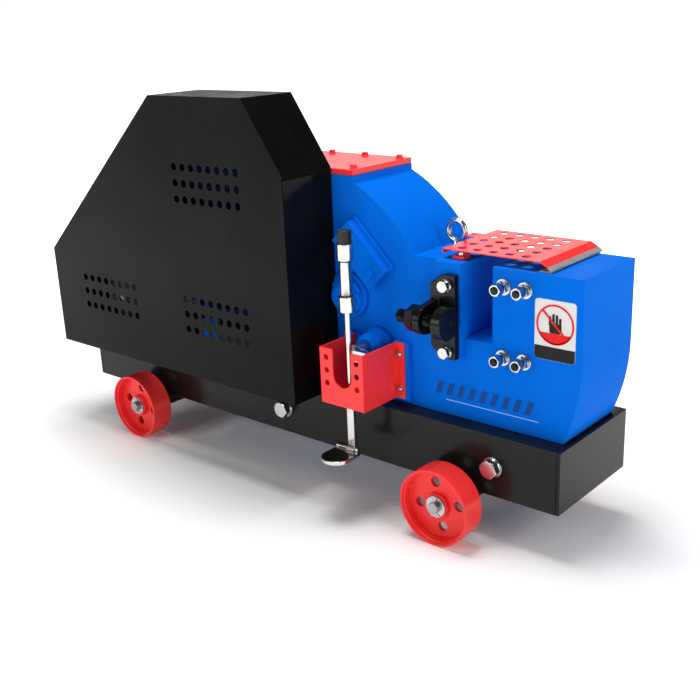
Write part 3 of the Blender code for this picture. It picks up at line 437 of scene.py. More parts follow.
def hex_piece(name, centre, axis, across, height, finish, body, replaced=(), bore=0.0, turn=0.0):
    """A hexagon head or nut with its corners chamfered, standing on its centre along its axis."""
    corner = across / math.sqrt(3)
    inner = across / 2
    foot, crown = inner * 1.02, inner * 0.98
    drop = (corner - inner) * 0.55
    shape = bmesh.new()

    def level(z, limit):
        ring = []
        for i in range(HEX_SIDES):
            angle = 2 * math.pi * i / HEX_SIDES
            folded = (angle + math.pi / 6) % (math.pi / 3) - math.pi / 6
            radius = min(inner / math.cos(folded), limit)
            x, y = radius * math.cos(angle + turn), radius * math.sin(angle + turn)
            ring.append(shape.verts.new((x, y, z)))
        return ring

    stages = [i / CHAMFER_STEPS for i in range(CHAMFER_STEPS + 1)]
    rings = [level(0.0, foot)]
    rings += [level(drop * t * 0.6, foot + (corner - foot) * t) for t in stages]
    rings += [level(height - drop * (1 - t), corner + (crown - corner) * t) for t in stages]
    if bore:
        rings += [circle_of(shape, bore, z, HEX_SIDES) for z in (height, 0)]
        rings.append(rings[0])
    for near, far in zip(rings, rings[1:]):
        bridge(shape, near, far)
    if not bore:
        shape.faces.new(rings[-1])
        shape.faces.new(list(reversed(rings[0])))
    bmesh.ops.remove_doubles(shape, verts=shape.verts, dist=1e-7)
    obj = from_bmesh(name, shape, 24)
    place(obj, centre, axis)
    return finish_piece(obj, finish, body, replaced)


def washer(name, centre, axis, radius, bore, height, finish, body):
    edge = min(0.0005, height * 0.3)
    profile = [(bore, height), (radius - edge, height), (radius, height - edge), (radius, 0), (bore, 0)]
    return lathe(name, profile, centre, axis, finish, body, steps=48)


def threads(radius, start, end, pitch, depth):
    """The outer side of a threaded rod's profile, from start down to end."""
    points = []
    z = start
    while z - pitch > end:
        points.append((radius - depth, z))
        points.append((radius, z - pitch / 2))
        z -= pitch
    points.append((radius - depth, z))
    return points


# ---------------------------------------------------------------- camera, light and floor
CAMERA_SPOT = (1.9276, -1.3079, 0.7909)
CAMERA_ANGLES = (-41.1251, -18.6534, -2.3798)  # yaw, pitch and roll in degrees
CAMERA_LENS = 51.47
ROOM_LIGHT = 0.12
SEEN_WHITE = 1.05
WHITE = (1.0, 1.0, 1.0, 1.0)
LIGHT_AIM = (0, 0, 0.35)
LIGHTS = {  # place, size and power
    "front_softbox": ((-0.9, -3.2, 1.6), (2.0, 1.4), 33),
    "top_softbox": ((-0.05, 0.0, 2.9), (1.3, 1.3), 68),
    "right_softbox": ((3.0, -0.5, 1.4), (1.4, 1.6), 26),
    "back_card": ((-2.7, 3.1, 1.85), (3.4, 1.2), 20),
}
FLOOR_HALF = 30.0


def build_camera():
    data = bpy.data.cameras.new("photo_camera")
    data.lens = CAMERA_LENS
    data.sensor_width = 36.0
    data.clip_end = 50.0
    camera = bpy.data.objects.new("photo_camera", data)
    bpy.context.scene.collection.objects.link(camera)
    yaw, pitch, roll = (math.radians(angle) for angle in CAMERA_ANGLES)
    flat = math.cos(pitch)
    forward = Vector((math.sin(yaw) * flat, math.cos(yaw) * flat, math.sin(pitch)))
    level = forward.cross(Vector((0, 0, 1))).normalized()
    upright = level.cross(forward)
    right = math.cos(roll) * level + math.sin(roll) * upright
    up = -math.sin(roll) * level + math.cos(roll) * upright
    turn = Matrix((right, up, -forward)).transposed().to_4x4()
    camera.matrix_world = Matrix.Translation(bench(*CAMERA_SPOT)) @ turn
    bpy.context.scene.camera = camera


def build_world():
    """A dim white room, which the camera itself sees as plain white."""
    world = bpy.data.worlds.new("studio")
    bpy.context.scene.world = world
    world.use_nodes = True
    tree = world.node_tree
    dim = tree.nodes["Background"]
    seen = tree.nodes.new("ShaderNodeBackground")
    for node, strength in ((dim, ROOM_LIGHT), (seen, SEEN_WHITE)):
        node.inputs["Color"].default_value = WHITE
        node.inputs["Strength"].default_value = strength
    choose = tree.nodes.new("ShaderNodeMixShader")
    path = tree.nodes.new("ShaderNodeLightPath")
    tree.links.new(path.outputs["Is Camera Ray"], choose.inputs[0])
    tree.links.new(dim.outputs[0], choose.inputs[1])
    tree.links.new(seen.outputs[0], choose.inputs[2])
    tree.links.new(choose.outputs[0], tree.nodes["World Output"].inputs["Surface"])
    bpy.context.scene.view_settings.view_transform = "Standard"


def build_lights():
    aim = Vector(LIGHT_AIM)
    for name, (place_at, size, power) in LIGHTS.items():
        data = bpy.data.lights.new(name, "AREA")
        data.shape = "RECTANGLE"
        data.size, data.size_y = size
        data.energy = power
        lamp = bpy.data.objects.new(name, data)
        bpy.context.scene.collection.objects.link(lamp)
        lamp.visible_camera = False
        spot = Vector(place_at)
        facing = (spot - aim).to_track_quat("Z", "Y").to_matrix().to_4x4()
        lamp.matrix_world = Matrix.Translation(spot) @ facing


def build_floor():
    """A pale floor that glows more the further it is from the machine, so that it ends in white."""
    corners = [(-1, -1), (1, -1), (1, 1), (-1, 1)]
    mesh = bpy.data.meshes.new("floor")
    mesh.from_pydata([(x * FLOOR_HALF, y * FLOOR_HALF, 0) for x, y in corners], [], [(0, 1, 2, 3)])
    floor = bpy.data.objects.new("floor", mesh)
    bpy.context.scene.collection.objects.link(floor)
    n = Nodes("pale_floor")
    n.shader.inputs["Base Color"].default_value = (0.92, 0.92, 0.92, 1)
    n.shader.inputs["Roughness"].default_value = 0.9
    n.shader.inputs["Specular IOR Level"].default_value = 0.1
    n.shader.inputs["Emission Color"].default_value = WHITE
    distance = n.add("VectorMath", operation="LENGTH")
    oval = n.add("Mapping")
    oval.inputs["Scale"].default_value = (0.55, 1.0, 1.0)
    n.link(n.coords, oval.inputs["Vector"])
    n.link(oval.outputs["Vector"], distance.inputs[0])
    glow = n.spread(distance.outputs["Value"], 0.02, 1.35, 0.24, 1.5)
    n.link(glow, n.shader.inputs["Emission Strength"])
    mesh.materials.append(n.material)


# ---------------------------------------------------------------- frame and wheels
RAIL_SIDES = (("front", 0.0, -1, "-Y"), ("rear", 0.234, 1, "Y"))


def build_frame():
    for node in ("front_rail", "rear_rail", "left_end_plate", "right_end_plate", "motor_base_plate"):
        refined(node, "frame", 0.0012, 3)
    for node in ("left_axle_carrier", "right_axle_carrier"):
        refined(node, "frame", 0.001)
    flange = [(0, 0.0024), (0.0150, 0.0024), (0.0162, 0.0006), (0.0162, 0.0), (0, 0.0)]
    for side in ("left", "right"):
        for end, rail_y, out, axis in RAIL_SIDES:
            node = f"{end}_{side}_frame_bolt"
            _, _, middle = cad_box(node)
            head, seat, rim = ((middle.x, rail_y + out * reach, middle.z) for reach in (0.0046, 0.0003, 0.0025))
            hex_piece(node + "_head", head, axis, 0.030, 0.0128, "zinc", "machine", (node,), turn=0.35)
            washer(node + "_washer", seat, axis, 0.0182, 0.0095, 0.0022, "zinc", "machine")
            lathe(node + "_flange", flange, rim, axis, "zinc", "machine", steps=48)
    for node in ("left_axle", "right_axle"):
        refined(node, "steel", 0.0008)


WHEEL_PROFILE = [
    (0.0103, 0.0240), (0.0220, 0.0240), (0.0220, 0.0046), (0.0600, 0.0046), (0.0625, 0.0235), (0.0690, 0.0240),
    (0.0700, 0.0225), (0.0700, -0.0230), (0.0690, -0.0240), (0.0655, -0.0240), (0.0650, -0.0190),
    (0.0628, -0.0180), (0.0610, -0.0030), (0.0235, -0.0030), (0.0222, -0.0120), (0.0103, -0.0120),
]
SPLIT_PIN = {  # each leg's bends, as (x, z) from the axle's middle
    "a": [(-0.0042, 0.0175), (-0.0030, 0.0205), (0.0, 0.0215), (0.0030, 0.0205), (0.0040, 0.0175),
          (0.0012, 0.0125), (0.0012, -0.0125), (0.0050, -0.0165), (0.0085, -0.0160)],
    "b": [(-0.0042, 0.0175), (-0.0012, 0.0125), (-0.0012, -0.0125), (-0.0050, -0.0170), (-0.0090, -0.0175)],
}


def drill_wheel(wheel, first_angle):
    """Four round holes through a wheel's web."""
    shape = bmesh.new()
    for quarter in range(4):
        angle = math.radians(first_angle + 90 * quarter)
        spot = Matrix.Translation((0.041 * math.cos(angle), 0.041 * math.sin(angle), 0))
        size = {"segments": 32, "radius1": 0.0095, "radius2": 0.0095, "depth": 0.03}
        bmesh.ops.create_cone(shape, cap_ends=True, matrix=spot, **size)
    mesh = bpy.data.meshes.new("wheel_cutter")
    shape.to_mesh(mesh)
    shape.free()
    cutter = bpy.data.objects.new("wheel_cutter", mesh)
    bpy.context.scene.collection.objects.link(cutter)
    cutter.matrix_world = wheel.matrix_world.copy()
    modifier = wheel.modifiers.new("holes", "BOOLEAN")
    modifier.operation = "DIFFERENCE"
    modifier.solver = "EXACT"
    modifier.object = cutter
    apply_modifiers(wheel)
    bpy.data.objects.remove(cutter)
    soften(wheel, 0.0009, 2, 50)


def build_wheels():
    profile = rounded(WHEEL_PROFILE, 0.0016)
    for name, side in (("front_left", -1), ("front_right", -1), ("rear_left", 1), ("rear_right", 1)):
        node = f"{name}_wheel"
        _, _, middle = cad_box(node)
        inward, outward = ("Y", "-Y") if side < 0 else ("-Y", "Y")
        wheel = lathe(node + "_casting", profile, tuple(middle), inward, "red", node, (node,), 96, 40)
        drill_wheel(wheel, 80 if name == "front_right" else 100)
        out = middle.y + side * 0.0122
        seat = (middle.x, out, middle.z)
        washer(node + "_washer", seat, outward, 0.0195, 0.0103, 0.0028, "zinc", "machine")
        for leg, bends in SPLIT_PIN.items():
            points = [(middle.x + dx, out + side * 0.0062, middle.z + dz) for dx, dz in bends]
            tube(f"{node}_split_pin_{leg}", points, 0.0009, "zinc", "machine")


def apply_modifiers(obj):
    bpy.context.view_layer.update()
    graph = bpy.context.evaluated_depsgraph_get()
    mesh = bpy.data.meshes.new_from_object(obj.evaluated_get(graph))
    old = obj.data
    obj.modifiers.clear()
    obj.data = mesh
    bpy.data.meshes.remove(old)
    smooth(mesh, 40)


# ---------------------------------------------------------------- belt guard
GUARD = [(0.015, 0.113), (0.730, 0.113), (0.730, 0.531), (0.643, 0.659), (0.393, 0.659), (0.015, 0.325)]
GUARD_FRONT, GUARD_BACK, GUARD_WALL = -0.095, 0.032, 0.002
VENTS = [(0.450, 0.4693), (0.1225, 0.2124), (0.450, 0.2122)]
VENT_PITCH = (0.0238, 0.0304)


def guard_wrap():
    """The guard's bent side sheet, open along its underside."""
    path = [Vector(point) for point in GUARD[1:] + GUARD[:1]]
    ways = [(after - before).normalized() for before, after in zip(path, path[1:])]
    near = GUARD_FRONT + 0.0012
    shape = bmesh.new()
    columns = []
    for outer, before, after in zip(path, ways[:1] + ways, ways + ways[-1:]):
        inward = Vector((-before.y, before.x)) + Vector((-after.y, after.x))
        inner = outer + inward * (GUARD_WALL / (1 + before.dot(after)))
        corners = ((outer, near), (outer, GUARD_BACK), (inner, GUARD_BACK), (inner, near))
        columns.append([shape.verts.new(bench(spot.x, y, spot.y)) for spot, y in corners])
    for left, right in zip(columns, columns[1:]):
        bridge(shape, left, right)
    shape.faces.new(columns[0])
    shape.faces.new(list(reversed(columns[-1])))
    wrap = from_bmesh("belt_guard_wrap", shape, 20)
    soften(wrap, 0.0010, 3, 25)
    finish_piece(wrap, "black", "machine")


def build_guard():
    loops = [GUARD]
    for left, bottom in VENTS:
        for column in range(8):
            for row in range(3):
                centre = (left + column * VENT_PITCH[0], bottom + row * VENT_PITCH[1])
                loops.append(circle(centre, 0.0072, 28))
    face_y = GUARD_FRONT + GUARD_WALL / 2
    sheet("belt_guard_face", loops, "XZ", face_y, GUARD_WALL, "black", "machine", ("belt_guard",), 0.0009, 3)
    guard_wrap()
    rear_plates = {
        "return": [(0.0175, 0.1155), (0.0850, 0.1155), (0.0850, 0.3840), (0.0175, 0.3245)],
        "panel": [(0.400, 0.1155), (0.7265, 0.1155), (0.7265, 0.2480), (0.400, 0.2480)],
    }
    for name, outline in rear_plates.items():
        level = GUARD_BACK - 0.0015
        sheet(f"belt_guard_rear_{name}", [outline], "XZ", level, 0.0015, "black", "machine", (), 0.0004)
    # the overlap of the right slope on the right wall
    lap = [(0.7265, 0.5300), (0.7302, 0.5300), (0.7330, 0.5262)]
    lap += [(0.7330, 0.5225), (0.7305, 0.5225), (0.7300, 0.5270)]
    lap_y = (GUARD_FRONT + GUARD_BACK) / 2
    sheet("belt_guard_lap", [lap], "XZ", lap_y, 0.122, "black", "machine", (), 0.0003, 1)
    for x in (0.100, 0.300, 0.500, 0.690):
        number = int(x * 1000)
        hex_piece(f"guard_screw_{number}", (x, GUARD_BACK - 0.004, 0.118), "Z", 0.010, 0.004, "zinc", "machine")
        low, high = (x - 0.012, GUARD_BACK - 0.020, 0.1135), (x + 0.012, GUARD_BACK - 0.0005, 0.1178)
        block(f"guard_tab_{number}", low, high, "black", "machine", 0.0004)


# ---------------------------------------------------------------- housing
CRANK = (0.763, 0.300)
CRANK_CAP = [
    (0.0, 0.0320), (0.0180, 0.0320), (0.0195, 0.0300), (0.0200, 0.0235), (0.0262, 0.0230), (0.0275, 0.0215),
    (0.0275, 0.0150), (0.0352, 0.0145), (0.0365, 0.0130), (0.0365, 0.0085), (0.0420, 0.0080), (0.0432, 0.0070),
    (0.0432, 0.0), (0.0, 0.0),
]
REAR_COVER_BOLTS = (
    (0.500, 0.455), (0.560, 0.250), (0.575, 0.228), (0.745, 0.262),
    (0.798, 0.318), (0.660, 0.395), (0.760, 0.346),
)


def build_housing():
    refined("gear_housing", "blue", 0.0018, 3, 35)
    refined("top_cover", "red", 0.0008, 2)
    refined("rear_bearing_cover", "blue", 0.0015, 3)
    refined("angle_bracket", "blue", 0.0014, 3)
    _, high, _ = cad_box("top_cover")
    for x in (0.5135, 0.5975, 0.6815, 0.7655):
        for y in (0.053, 0.187):
            number = f"{int(x * 1e4)}_{int(y * 1e3)}"
            head = (x, y, high.z + 0.0012)
            hex_piece(f"cover_bolt_{number}", head, "Z", 0.011, 0.0052, "red", "machine", turn=x * 40)
            washer(f"cover_washer_{number}", (x, y, high.z), "Z", 0.0085, 0.003, 0.0012, "red", "machine")
    cx, cz = CRANK
    profile = rounded(CRANK_CAP, 0.0010)
    cap = lathe("crank_cap", profile, (cx, 0.0337, cz), "-Y", "blue", "machine", ("crank_bearing_cap",), 96)
    trim_left(cap, 0.7320)
    for angle in (-52, 8, 58):
        turned = math.radians(angle)
        spot = (cx + 0.0322 * math.cos(turned), 0.0196, cz + 0.0322 * math.sin(turned))
        hex_piece(f"crank_cap_bolt_{angle}", spot, "-Y", 0.0085, 0.005, "blue", "machine")
    # the bolt on the 45 degree bracket
    hex_piece("bracket_bolt", (0.829, 0.0142, 0.3490), "-Y", 0.0150, 0.008, "blue", "machine", turn=0.2)
    washer("bracket_washer", (0.829, 0.0146, 0.3490), "-Y", 0.0115, 0.004, 0.0012, "blue", "machine")
    _, high, _ = cad_box("rear_bearing_cover")
    for i, (x, z) in enumerate(REAR_COVER_BOLTS):
        hex_piece(f"rear_cover_bolt_{i}", (x, high.y, z), "Y", 0.013, 0.007, "blue", "machine", turn=i)
    # the oil level glass and the drain plug on the rear
    glass = [(0.0, 0.004), (0.009, 0.004), (0.011, 0.006), (0.0135, 0.006)]
    glass += [(0.0145, 0.0045), (0.0145, 0), (0, 0)]
    lathe("oil_level_ring", glass, (0.845, 0.206, 0.190), "Y", "steel", "machine", steps=48)
    hex_piece("oil_drain_plug", (0.500, 0.206, 0.150), "Y", 0.019, 0.009, "oxide", "machine")


def trim_left(obj, limit):
    """Cuts away what lies left of a bench X, and closes the cut."""
    shape = bmesh.new()
    shape.from_mesh(obj.data)
    shape.transform(obj.matrix_world)
    cut = bench(limit, 0, 0).x
    everything = shape.verts[:] + shape.edges[:] + shape.faces[:]
    plane = {"plane_co": (cut, 0, 0), "plane_no": (-1, 0, 0)}
    result = bmesh.ops.bisect_plane(shape, geom=everything, clear_outer=True, **plane)
    edges = [e for e in result["geom_cut"] if isinstance(e, bmesh.types.BMEdge)]
    bmesh.ops.contextual_create(shape, geom=edges)
    shape.transform(obj.matrix_world.inverted())
    shape.to_mesh(obj.data)
    shape.free()
    smooth(obj.data, 30)


def label_material(name, colour, rough=(0.25, 0.35)):
    n = Nodes(name)
    tone = n.ramp(n.noise(40.0, 4.0), [(0.3, mix(colour, (0, 0, 0), 0.06)), (0.7, colour)])
    n.link(tone, n.shader.inputs["Base Color"])
    n.link(n.spread(n.noise(120.0), *rough), n.shader.inputs["Roughness"])
    n.shader.inputs["Specular IOR Level"].default_value = 0.12
    return n.material


HEAD_FACE = 0.034


def build_labels():
    """A plain pictogram plate and a plain stripe, with no lettering."""
    MAT["label_white"] = label_material("label_white", (0.72, 0.71, 0.70))
    MAT["label_black"] = label_material("label_black", (0.012, 0.012, 0.012))
    MAT["label_red"] = label_material("label_red", (0.80, 0.01, 0.01))
    MAT["stripe_blue"] = label_material("stripe_dark_blue", (0.0, 0.055, 0.27), (0.3, 0.4))
    MAT["stripe_pale"] = label_material("stripe_pale", (0.35, 0.55, 0.85), (0.3, 0.4))

    def rectangle(x0, z0, x1, z1, r):
        points = arc((x1 - r, z1 - r), r, 0, 90, 8) + arc((x0 + r, z1 - r), r, 90, 180, 8)
        return points + arc((x0 + r, z0 + r), r, 180, 270, 8) + arc((x1 - r, z0 + r), r, 270, 360, 8)

    x0, z0, x1, z1 = 1.1495, 0.252, 1.2225, 0.352
    cx, cz = (x0 + x1) / 2, z1 - 0.040
    t = 0.0004

    def layer(name, loops, height, finish):
        sheet(name, loops, "XZ", HEAD_FACE - height - t / 2, t, finish, "machine", (), 0)

    layer("label_plate", [rectangle(x0, z0, x1, z1, 0.006)], 0.0, "label_white")
    low_x, high_x, low_z, high_z, r = x0 + 0.0004, x1 - 0.0004, z0 + 0.0004, z0 + 0.0225, 0.0055
    band = [(high_x, high_z), (low_x, high_z)] + arc((low_x + r, low_z + r), r, 180, 270, 8)
    layer("label_band", [band + arc((high_x - r, low_z + r), r, 270, 360, 8)], t, "label_black")
    layer("label_ring", [circle((cx, cz), 0.0335, 64), circle((cx, cz), 0.0302, 64)], t, "label_red")
    layer("label_ring_foot", [arc((cx, cz), 0.0320, 207, 333, 24)], t, "label_red")
    palm = rectangle(cx - 0.0100, cz - 0.0142, cx + 0.0115, cz + 0.0020, 0.004)
    layer("label_figure_block", [palm], t, "label_black")
    for i, (dx, top) in enumerate(((-0.0090, 0.0135), (-0.0030, 0.0180), (0.0030, 0.0170), (0.0090, 0.0120))):
        finger = rectangle(cx + dx - 0.0021, cz - 0.002, cx + dx + 0.0021, cz + top, 0.002)
        layer(f"label_figure_bar_{i}", [finger], t * 1.5, "label_black")
    bar = Vector((math.cos(math.radians(135)), math.sin(math.radians(135))))
    side = Vector((-bar.y, bar.x)) * 0.0016
    a, b = Vector((cx, cz)) + bar * 0.031, Vector((cx, cz)) - bar * 0.031
    slash = [tuple(corner) for corner in (a - side, b - side, b + side, a + side)]
    layer("label_slash", [slash], t * 3, "label_red")
    for i in range(9):
        x = 0.953 + i * 0.0225
        slanted = [(x, 0.149), (x + 0.011, 0.149), (x + 0.019, 0.172), (x + 0.008, 0.172)]
        layer(f"stripe_bar_{i}", [slanted], 0.0, "stripe_blue")
    line = [(0.976, 0.1395), (1.160, 0.1395), (1.160, 0.1408), (0.976, 0.1408)]
    layer("stripe_line", [line], 0.0, "stripe_pale")


# ---------------------------------------------------------------- stop, studs, eye bolt
def build_stop():
    refined("stop_bracket", "oxide", 0.0014, 3, 35)
    y, z = -0.024, 0.300
    radius, nut_bore = 0.0113, 0.0117
    profile = [(0.0, 0.001), (0.0094, 0.001)] + threads(radius, 0.0, -0.0800, 0.0022, 0.0011)
    profile += [(radius, -0.0815), (radius, -0.0835), (0.0270, -0.0835), (0.0285, -0.0850), (0.0285, -0.1015)]
    profile += [(0.0272, -0.1030), (0.0050, -0.1030), (0.0042, -0.1022), (0.0, -0.1022)]
    lathe("stop_screw_turned", profile, (0.921, y, z), "-X", "oxide", "stop_screw", ("stop_screw",), 72)
    nut = (0.9450, y, z)
    hex_piece("stop_nut_hex", nut, "X", 0.0400, 0.0165, "oxide", "stop_nut", ("stop_nut",), nut_bore, 0.26)
    face = [(nut_bore, 0.0031), (0.0186, 0.0031), (0.0190, 0.0), (nut_bore, 0.0)]
    lathe("stop_nut_face", face, (0.9614, y, z), "X", "oxide", "stop_nut", steps=64)
    flange = [(0.0, 0.0030), (0.0100, 0.0030), (0.0118, 0.0012), (0.0120, 0.0), (0.0, 0.0)]
    for node in ("stop_bolt_upper", "stop_bolt_lower"):
        _, _, middle = cad_box(node)
        head, seat = (middle.x, 0.0070, middle.z), (middle.x, 0.0097, middle.z)
        hex_piece(node + "_head", head, "-Y", 0.0190, 0.0085, "zinc", "machine", (node,), turn=0.3)
        lathe(node + "_flange", flange, seat, "-Y", "zinc", "machine", steps=56)


def build_studs():
    bore = 0.0068
    rod = [(0.0, 0.0322), (0.0052, 0.0322), (0.0066, 0.0308)] + threads(0.0067, 0.0302, 0.0005, 0.0016, 0.0007)
    rod += [(0.0067, 0.0), (0.0, 0.0)]
    spring = [(bore, 0.0022), (0.0108, 0.0022), (0.0108, 0.0), (bore, 0.0)]
    for i in range(1, 5):
        node = f"blade_stud_{i}"
        _, _, middle = cad_box(node)
        x, z = middle.x, middle.z
        lathe(node + "_thread", rod, (x, HEAD_FACE, z), "-Y", "oxide", "machine", (node,), 40)
        washer(node + "_washer", (x, 0.0338, z), "-Y", 0.0137, bore, 0.0024, "zinc", "machine")
        lathe(node + "_spring_washer", spring, (x, 0.0312, z), "-Y", "zinc", "machine", steps=40)
        inner, outer = (x, 0.0288, z), (x, 0.0176, z)
        hex_piece(node + "_nut_inner", inner, "-Y", 0.0200, 0.0085, "zinc", "machine", (), bore, 0.2 + i)
        hex_piece(node + "_nut_outer", outer, "-Y", 0.0186, 0.0128, "zinc", "machine", (), bore, 0.9 + i * 0.7)


def build_eye_bolt():
    x, y, top = 0.9405, 0.120, 0.391
    points = [(px, y, pz) for px, pz in circle((x, top + 0.0300), 0.0178, 48)]
    ring = tube("eye_ring", points, 0.0048, "zinc", "machine", True, 8)
    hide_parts("eye_bolt")
    foot = [(0.0, 0.0120), (0.0062, 0.0120), (0.0078, 0.0080), (0.0085, 0.0052), (0.0120, 0.0048)]
    foot += [(0.0124, 0.0040), (0.0124, 0.0004), (0.0, 0.0004)]
    lathe("eye_foot", foot, (x, y, top), "Z", "zinc", "machine", (), 48)


# ---------------------------------------------------------------- blade guard
def build_blade_guard():
    hinge_x, hinge_z, top, thick, left = 1.1705, 0.3948, 0.408, 0.0018, 0.9635
    front, rear = 0.043, 0.213
    holes = [(0.992 + 0.0308 * c, 0.062 + 0.0327 * r) for c in range(5) for r in range(5)]
    outline = [(left + 0.0008, front), (1.1510, front), (1.1510, rear), (left + 0.0008, rear)]
    outline += [(left + 0.0008, 0.172), (0.940, 0.172), (0.940, 0.142), (left + 0.0008, 0.142)]
    loops = [outline] + [circle(h, 0.0079, 28) for h in holes] + [circle((0.952, 0.157), 0.0045, 20)]
    level = top - thick / 2
    sheet("blade_guard_top", loops, "XY", level, thick, "red", "blade_guard", ("blade_guard",), 0.0004)
    slope = [(1.1500, top), (1.1515, 0.4079), (1.1662, 0.3997)]
    slope += [(1.1653, 0.3982), (1.1508, 0.4062), (1.1500, 0.4062)]
    prism("blade_guard_slope", slope, front, rear, "red", "blade_guard")
    lip = [(left, 0.3995), (left + thick, 0.3995), (left + thick, 0.4060), (left + 0.003, 0.4062)]
    lip += [(left + 0.003, top), (left + 0.001, 0.4077), (left, 0.4067)]
    for name, near, far in (("front", front, 0.1405), ("rear", 0.1735, rear)):
        prism(f"blade_guard_lip_{name}", lip, near, far, "red", "blade_guard")
    leaf = [(1.1648, 0.4001), (1.1655, 0.4005), (1.1735, 0.3946)]
    leaf += [(1.1722, 0.3925), (1.1700, 0.3938), (1.1640, 0.3984)]
    prism("blade_guard_leaf", leaf, front, rear, "strip", "blade_guard")
    pin = rounded([(0, 0.0790), (0.0015, 0.0790), (0.0015, -0.0790), (0, -0.0790)], 0.0004)
    lathe("blade_guard_pin", pin, (hinge_x, 0.124, hinge_z), "Y", "zinc", "blade_guard", (), 24)
    refined("guard_hinge_leaf", "strip", 0.0003)
    for side, y in (("front", 0.054), ("rear", 0.194)):
        refined(f"{side}_rest_lug", "red", 0.0006)
        hex_piece(f"{side}_lug_bolt", (0.995, y, 0.3975), "Z", 0.0110, 0.0050, "zinc", "machine")
    refined("fixed_blade", "blade", 0.0006)
    refined("ram", "blade", 0.0008)
    refined("moving_blade", "blade", 0.0006)


# ---------------------------------------------------------------- lever, guide, clutch, pedal
def build_lever():
    x, y = 0.8305, -0.054
    refined("lever_guide", "red", 0.0007, 2)
    bore = 0.0057
    grip = [(bore, 0.4203), (0.0134, 0.4203), (0.0142, 0.4190), (0.0142, 0.3915), (0.0134, 0.3904)]
    grip += [(0.0104, 0.3902), (0.0104, 0.3274), (0.0134, 0.3272), (0.0142, 0.3260), (0.0142, 0.3000)]
    grip = rounded(grip + [(0.0134, 0.2988), (bore, 0.2988)], 0.0004, 2)
    lathe("lever_grip_turned", grip, (x, y, 0), "Z", "chrome", "lever", ("lever_grip",), 64)
    ring = rounded([(0.0103, 0.0011), (0.0116, 0.0011), (0.0116, -0.0011), (0.0103, -0.0011)], 0.0003)
    for i, z in enumerate((0.3892, 0.3286)):
        lathe(f"lever_seal_{i}", ring, (x, y, z), "Z", "plastic", "lever", steps=48)
    knob = [(0.0, 0.4425), (0.0110, 0.4425), (0.0122, 0.4410), (0.0122, 0.4206), (0.0, 0.4206)]
    knob = rounded(knob, 0.0010)
    lathe("lever_knob_turned", knob, (x, y, 0), "Z", "plastic", "lever", ("lever_knob",), 64)
    refined("lever_rod", "chrome", 0.0006, 2)
    refined("clutch_shaft", "steel", 0.0006)
    boss = [(0.0114, 0.0457), (0.0195, 0.0457), (0.0210, 0.0440), (0.0210, 0.0380), (0.0240, 0.0375)]
    boss += [(0.0255, 0.0360), (0.0255, 0.0140), (0.0300, 0.0132), (0.0310, 0.0115), (0.0310, 0.0)]
    boss = rounded(boss + [(0.0114, 0.0)], 0.0008)
    lathe("clutch_boss_turned", boss, (x, 0.0337, 0.218), "-Y", "blue", "machine", ("clutch_boss",), 80)
    dome = [(0, 0.0062), (0.0030, 0.0057), (0.0054, 0.0036), (0.0062, 0.0), (0, 0.0)]
    for side in (0.7670, 0.8845):
        for z in (0.145, 0.2117):
            name = f"{int(side * 1e3)}_{int(z * 1e3)}"
            lathe(f"guide_rivet_{name}", dome, (side, 0.0207, z), "-Y", "zinc", "machine", (), 32)
            seat = (side, 0.0208, z)
            washer(f"guide_rivet_washer_{name}", seat, "-Y", 0.0078, 0.004, 0.0010, "red", "machine")
    px = 0.822
    left, right, front = px - 0.029, px + 0.029, -0.118 + 0.029
    loop = [(left + 0.006, y + 0.0035), (left + 0.0005, y - 0.012), (left, front)]
    loop += arc((px, front), 0.029, 180, 360, 33)[1:-1]
    loop += [(right, front), (right - 0.0005, y - 0.012), (right - 0.006, y + 0.0035), (x + 0.0082, y + 0.0035)]
    loop += [(x + 0.0082, y - 0.0115), (x - 0.0082, y - 0.0115), (x - 0.0082, y + 0.0035)]
    sheet("pedal_tread", [loop], "XY", 0.0328, 0.0072, "chrome", "pedal", ("pedal",), 0.0012, 3)
    barrel = rounded([(0, 0.025), (0.0052, 0.025), (0.0052, -0.025), (0, -0.025)], 0.0008)
    lathe("pedal_barrel", barrel, (px - 0.003, y, 0.039), "X", "chrome", "pedal", (), 32)


# ---------------------------------------------------------------- drive and motor
BELT_Y = -0.032
BELT_LEVELS = [0.014 - i * 0.014 for i in range(3)]
FLYWHEEL = (0.518, 0.420)
FLYWHEEL_RADIUS = 0.180
MOTOR = (0.200, 0.238)
PULLEY_RADIUS = 0.050


def v_grooves(radius):
    """The three belt grooves in a pulley's rim, from its rear side to its front."""
    floor = radius - 0.010
    points = []
    for level in BELT_LEVELS:
        points += [(radius, level + 0.0060), (floor, level + 0.0035), (floor, level - 0.0035)]
        points.append((radius, level - 0.0060))
    return points


def build_belts():
    small, large = Vector(MOTOR), Vector(FLYWHEEL)
    run = large - small
    heading = math.degrees(math.atan2(run.y, run.x))
    lean = math.degrees(math.acos((PULLEY_RADIUS - FLYWHEEL_RADIUS) / run.length))
    for i, groove in enumerate(BELT_LEVELS):
        level = BELT_Y + groove
        shape = bmesh.new()
        rows = []
        for offset, half in ((0.0040, 0.0062), (-0.0055, 0.0036)):
            loop = arc(tuple(small), PULLEY_RADIUS + offset, heading + lean, heading + 360 - lean, 40)
            loop += arc(tuple(large), FLYWHEEL_RADIUS + offset, heading - lean, heading + lean, 80)
            rows.append([shape.verts.new(bench(x, level - half, z)) for x, z in loop])
            rows.append([shape.verts.new(bench(x, level + half, z)) for x, z in loop])
        order = [rows[0], rows[1], rows[3], rows[2]]
        for near, far in zip(order, order[1:] + order[:1]):
            bridge(shape, near, far)
        belt = from_bmesh(f"v_belt_{i}", shape, 40)
        finish_piece(belt, "belt", "machine", ("drive_belt",) if i == 0 else ())


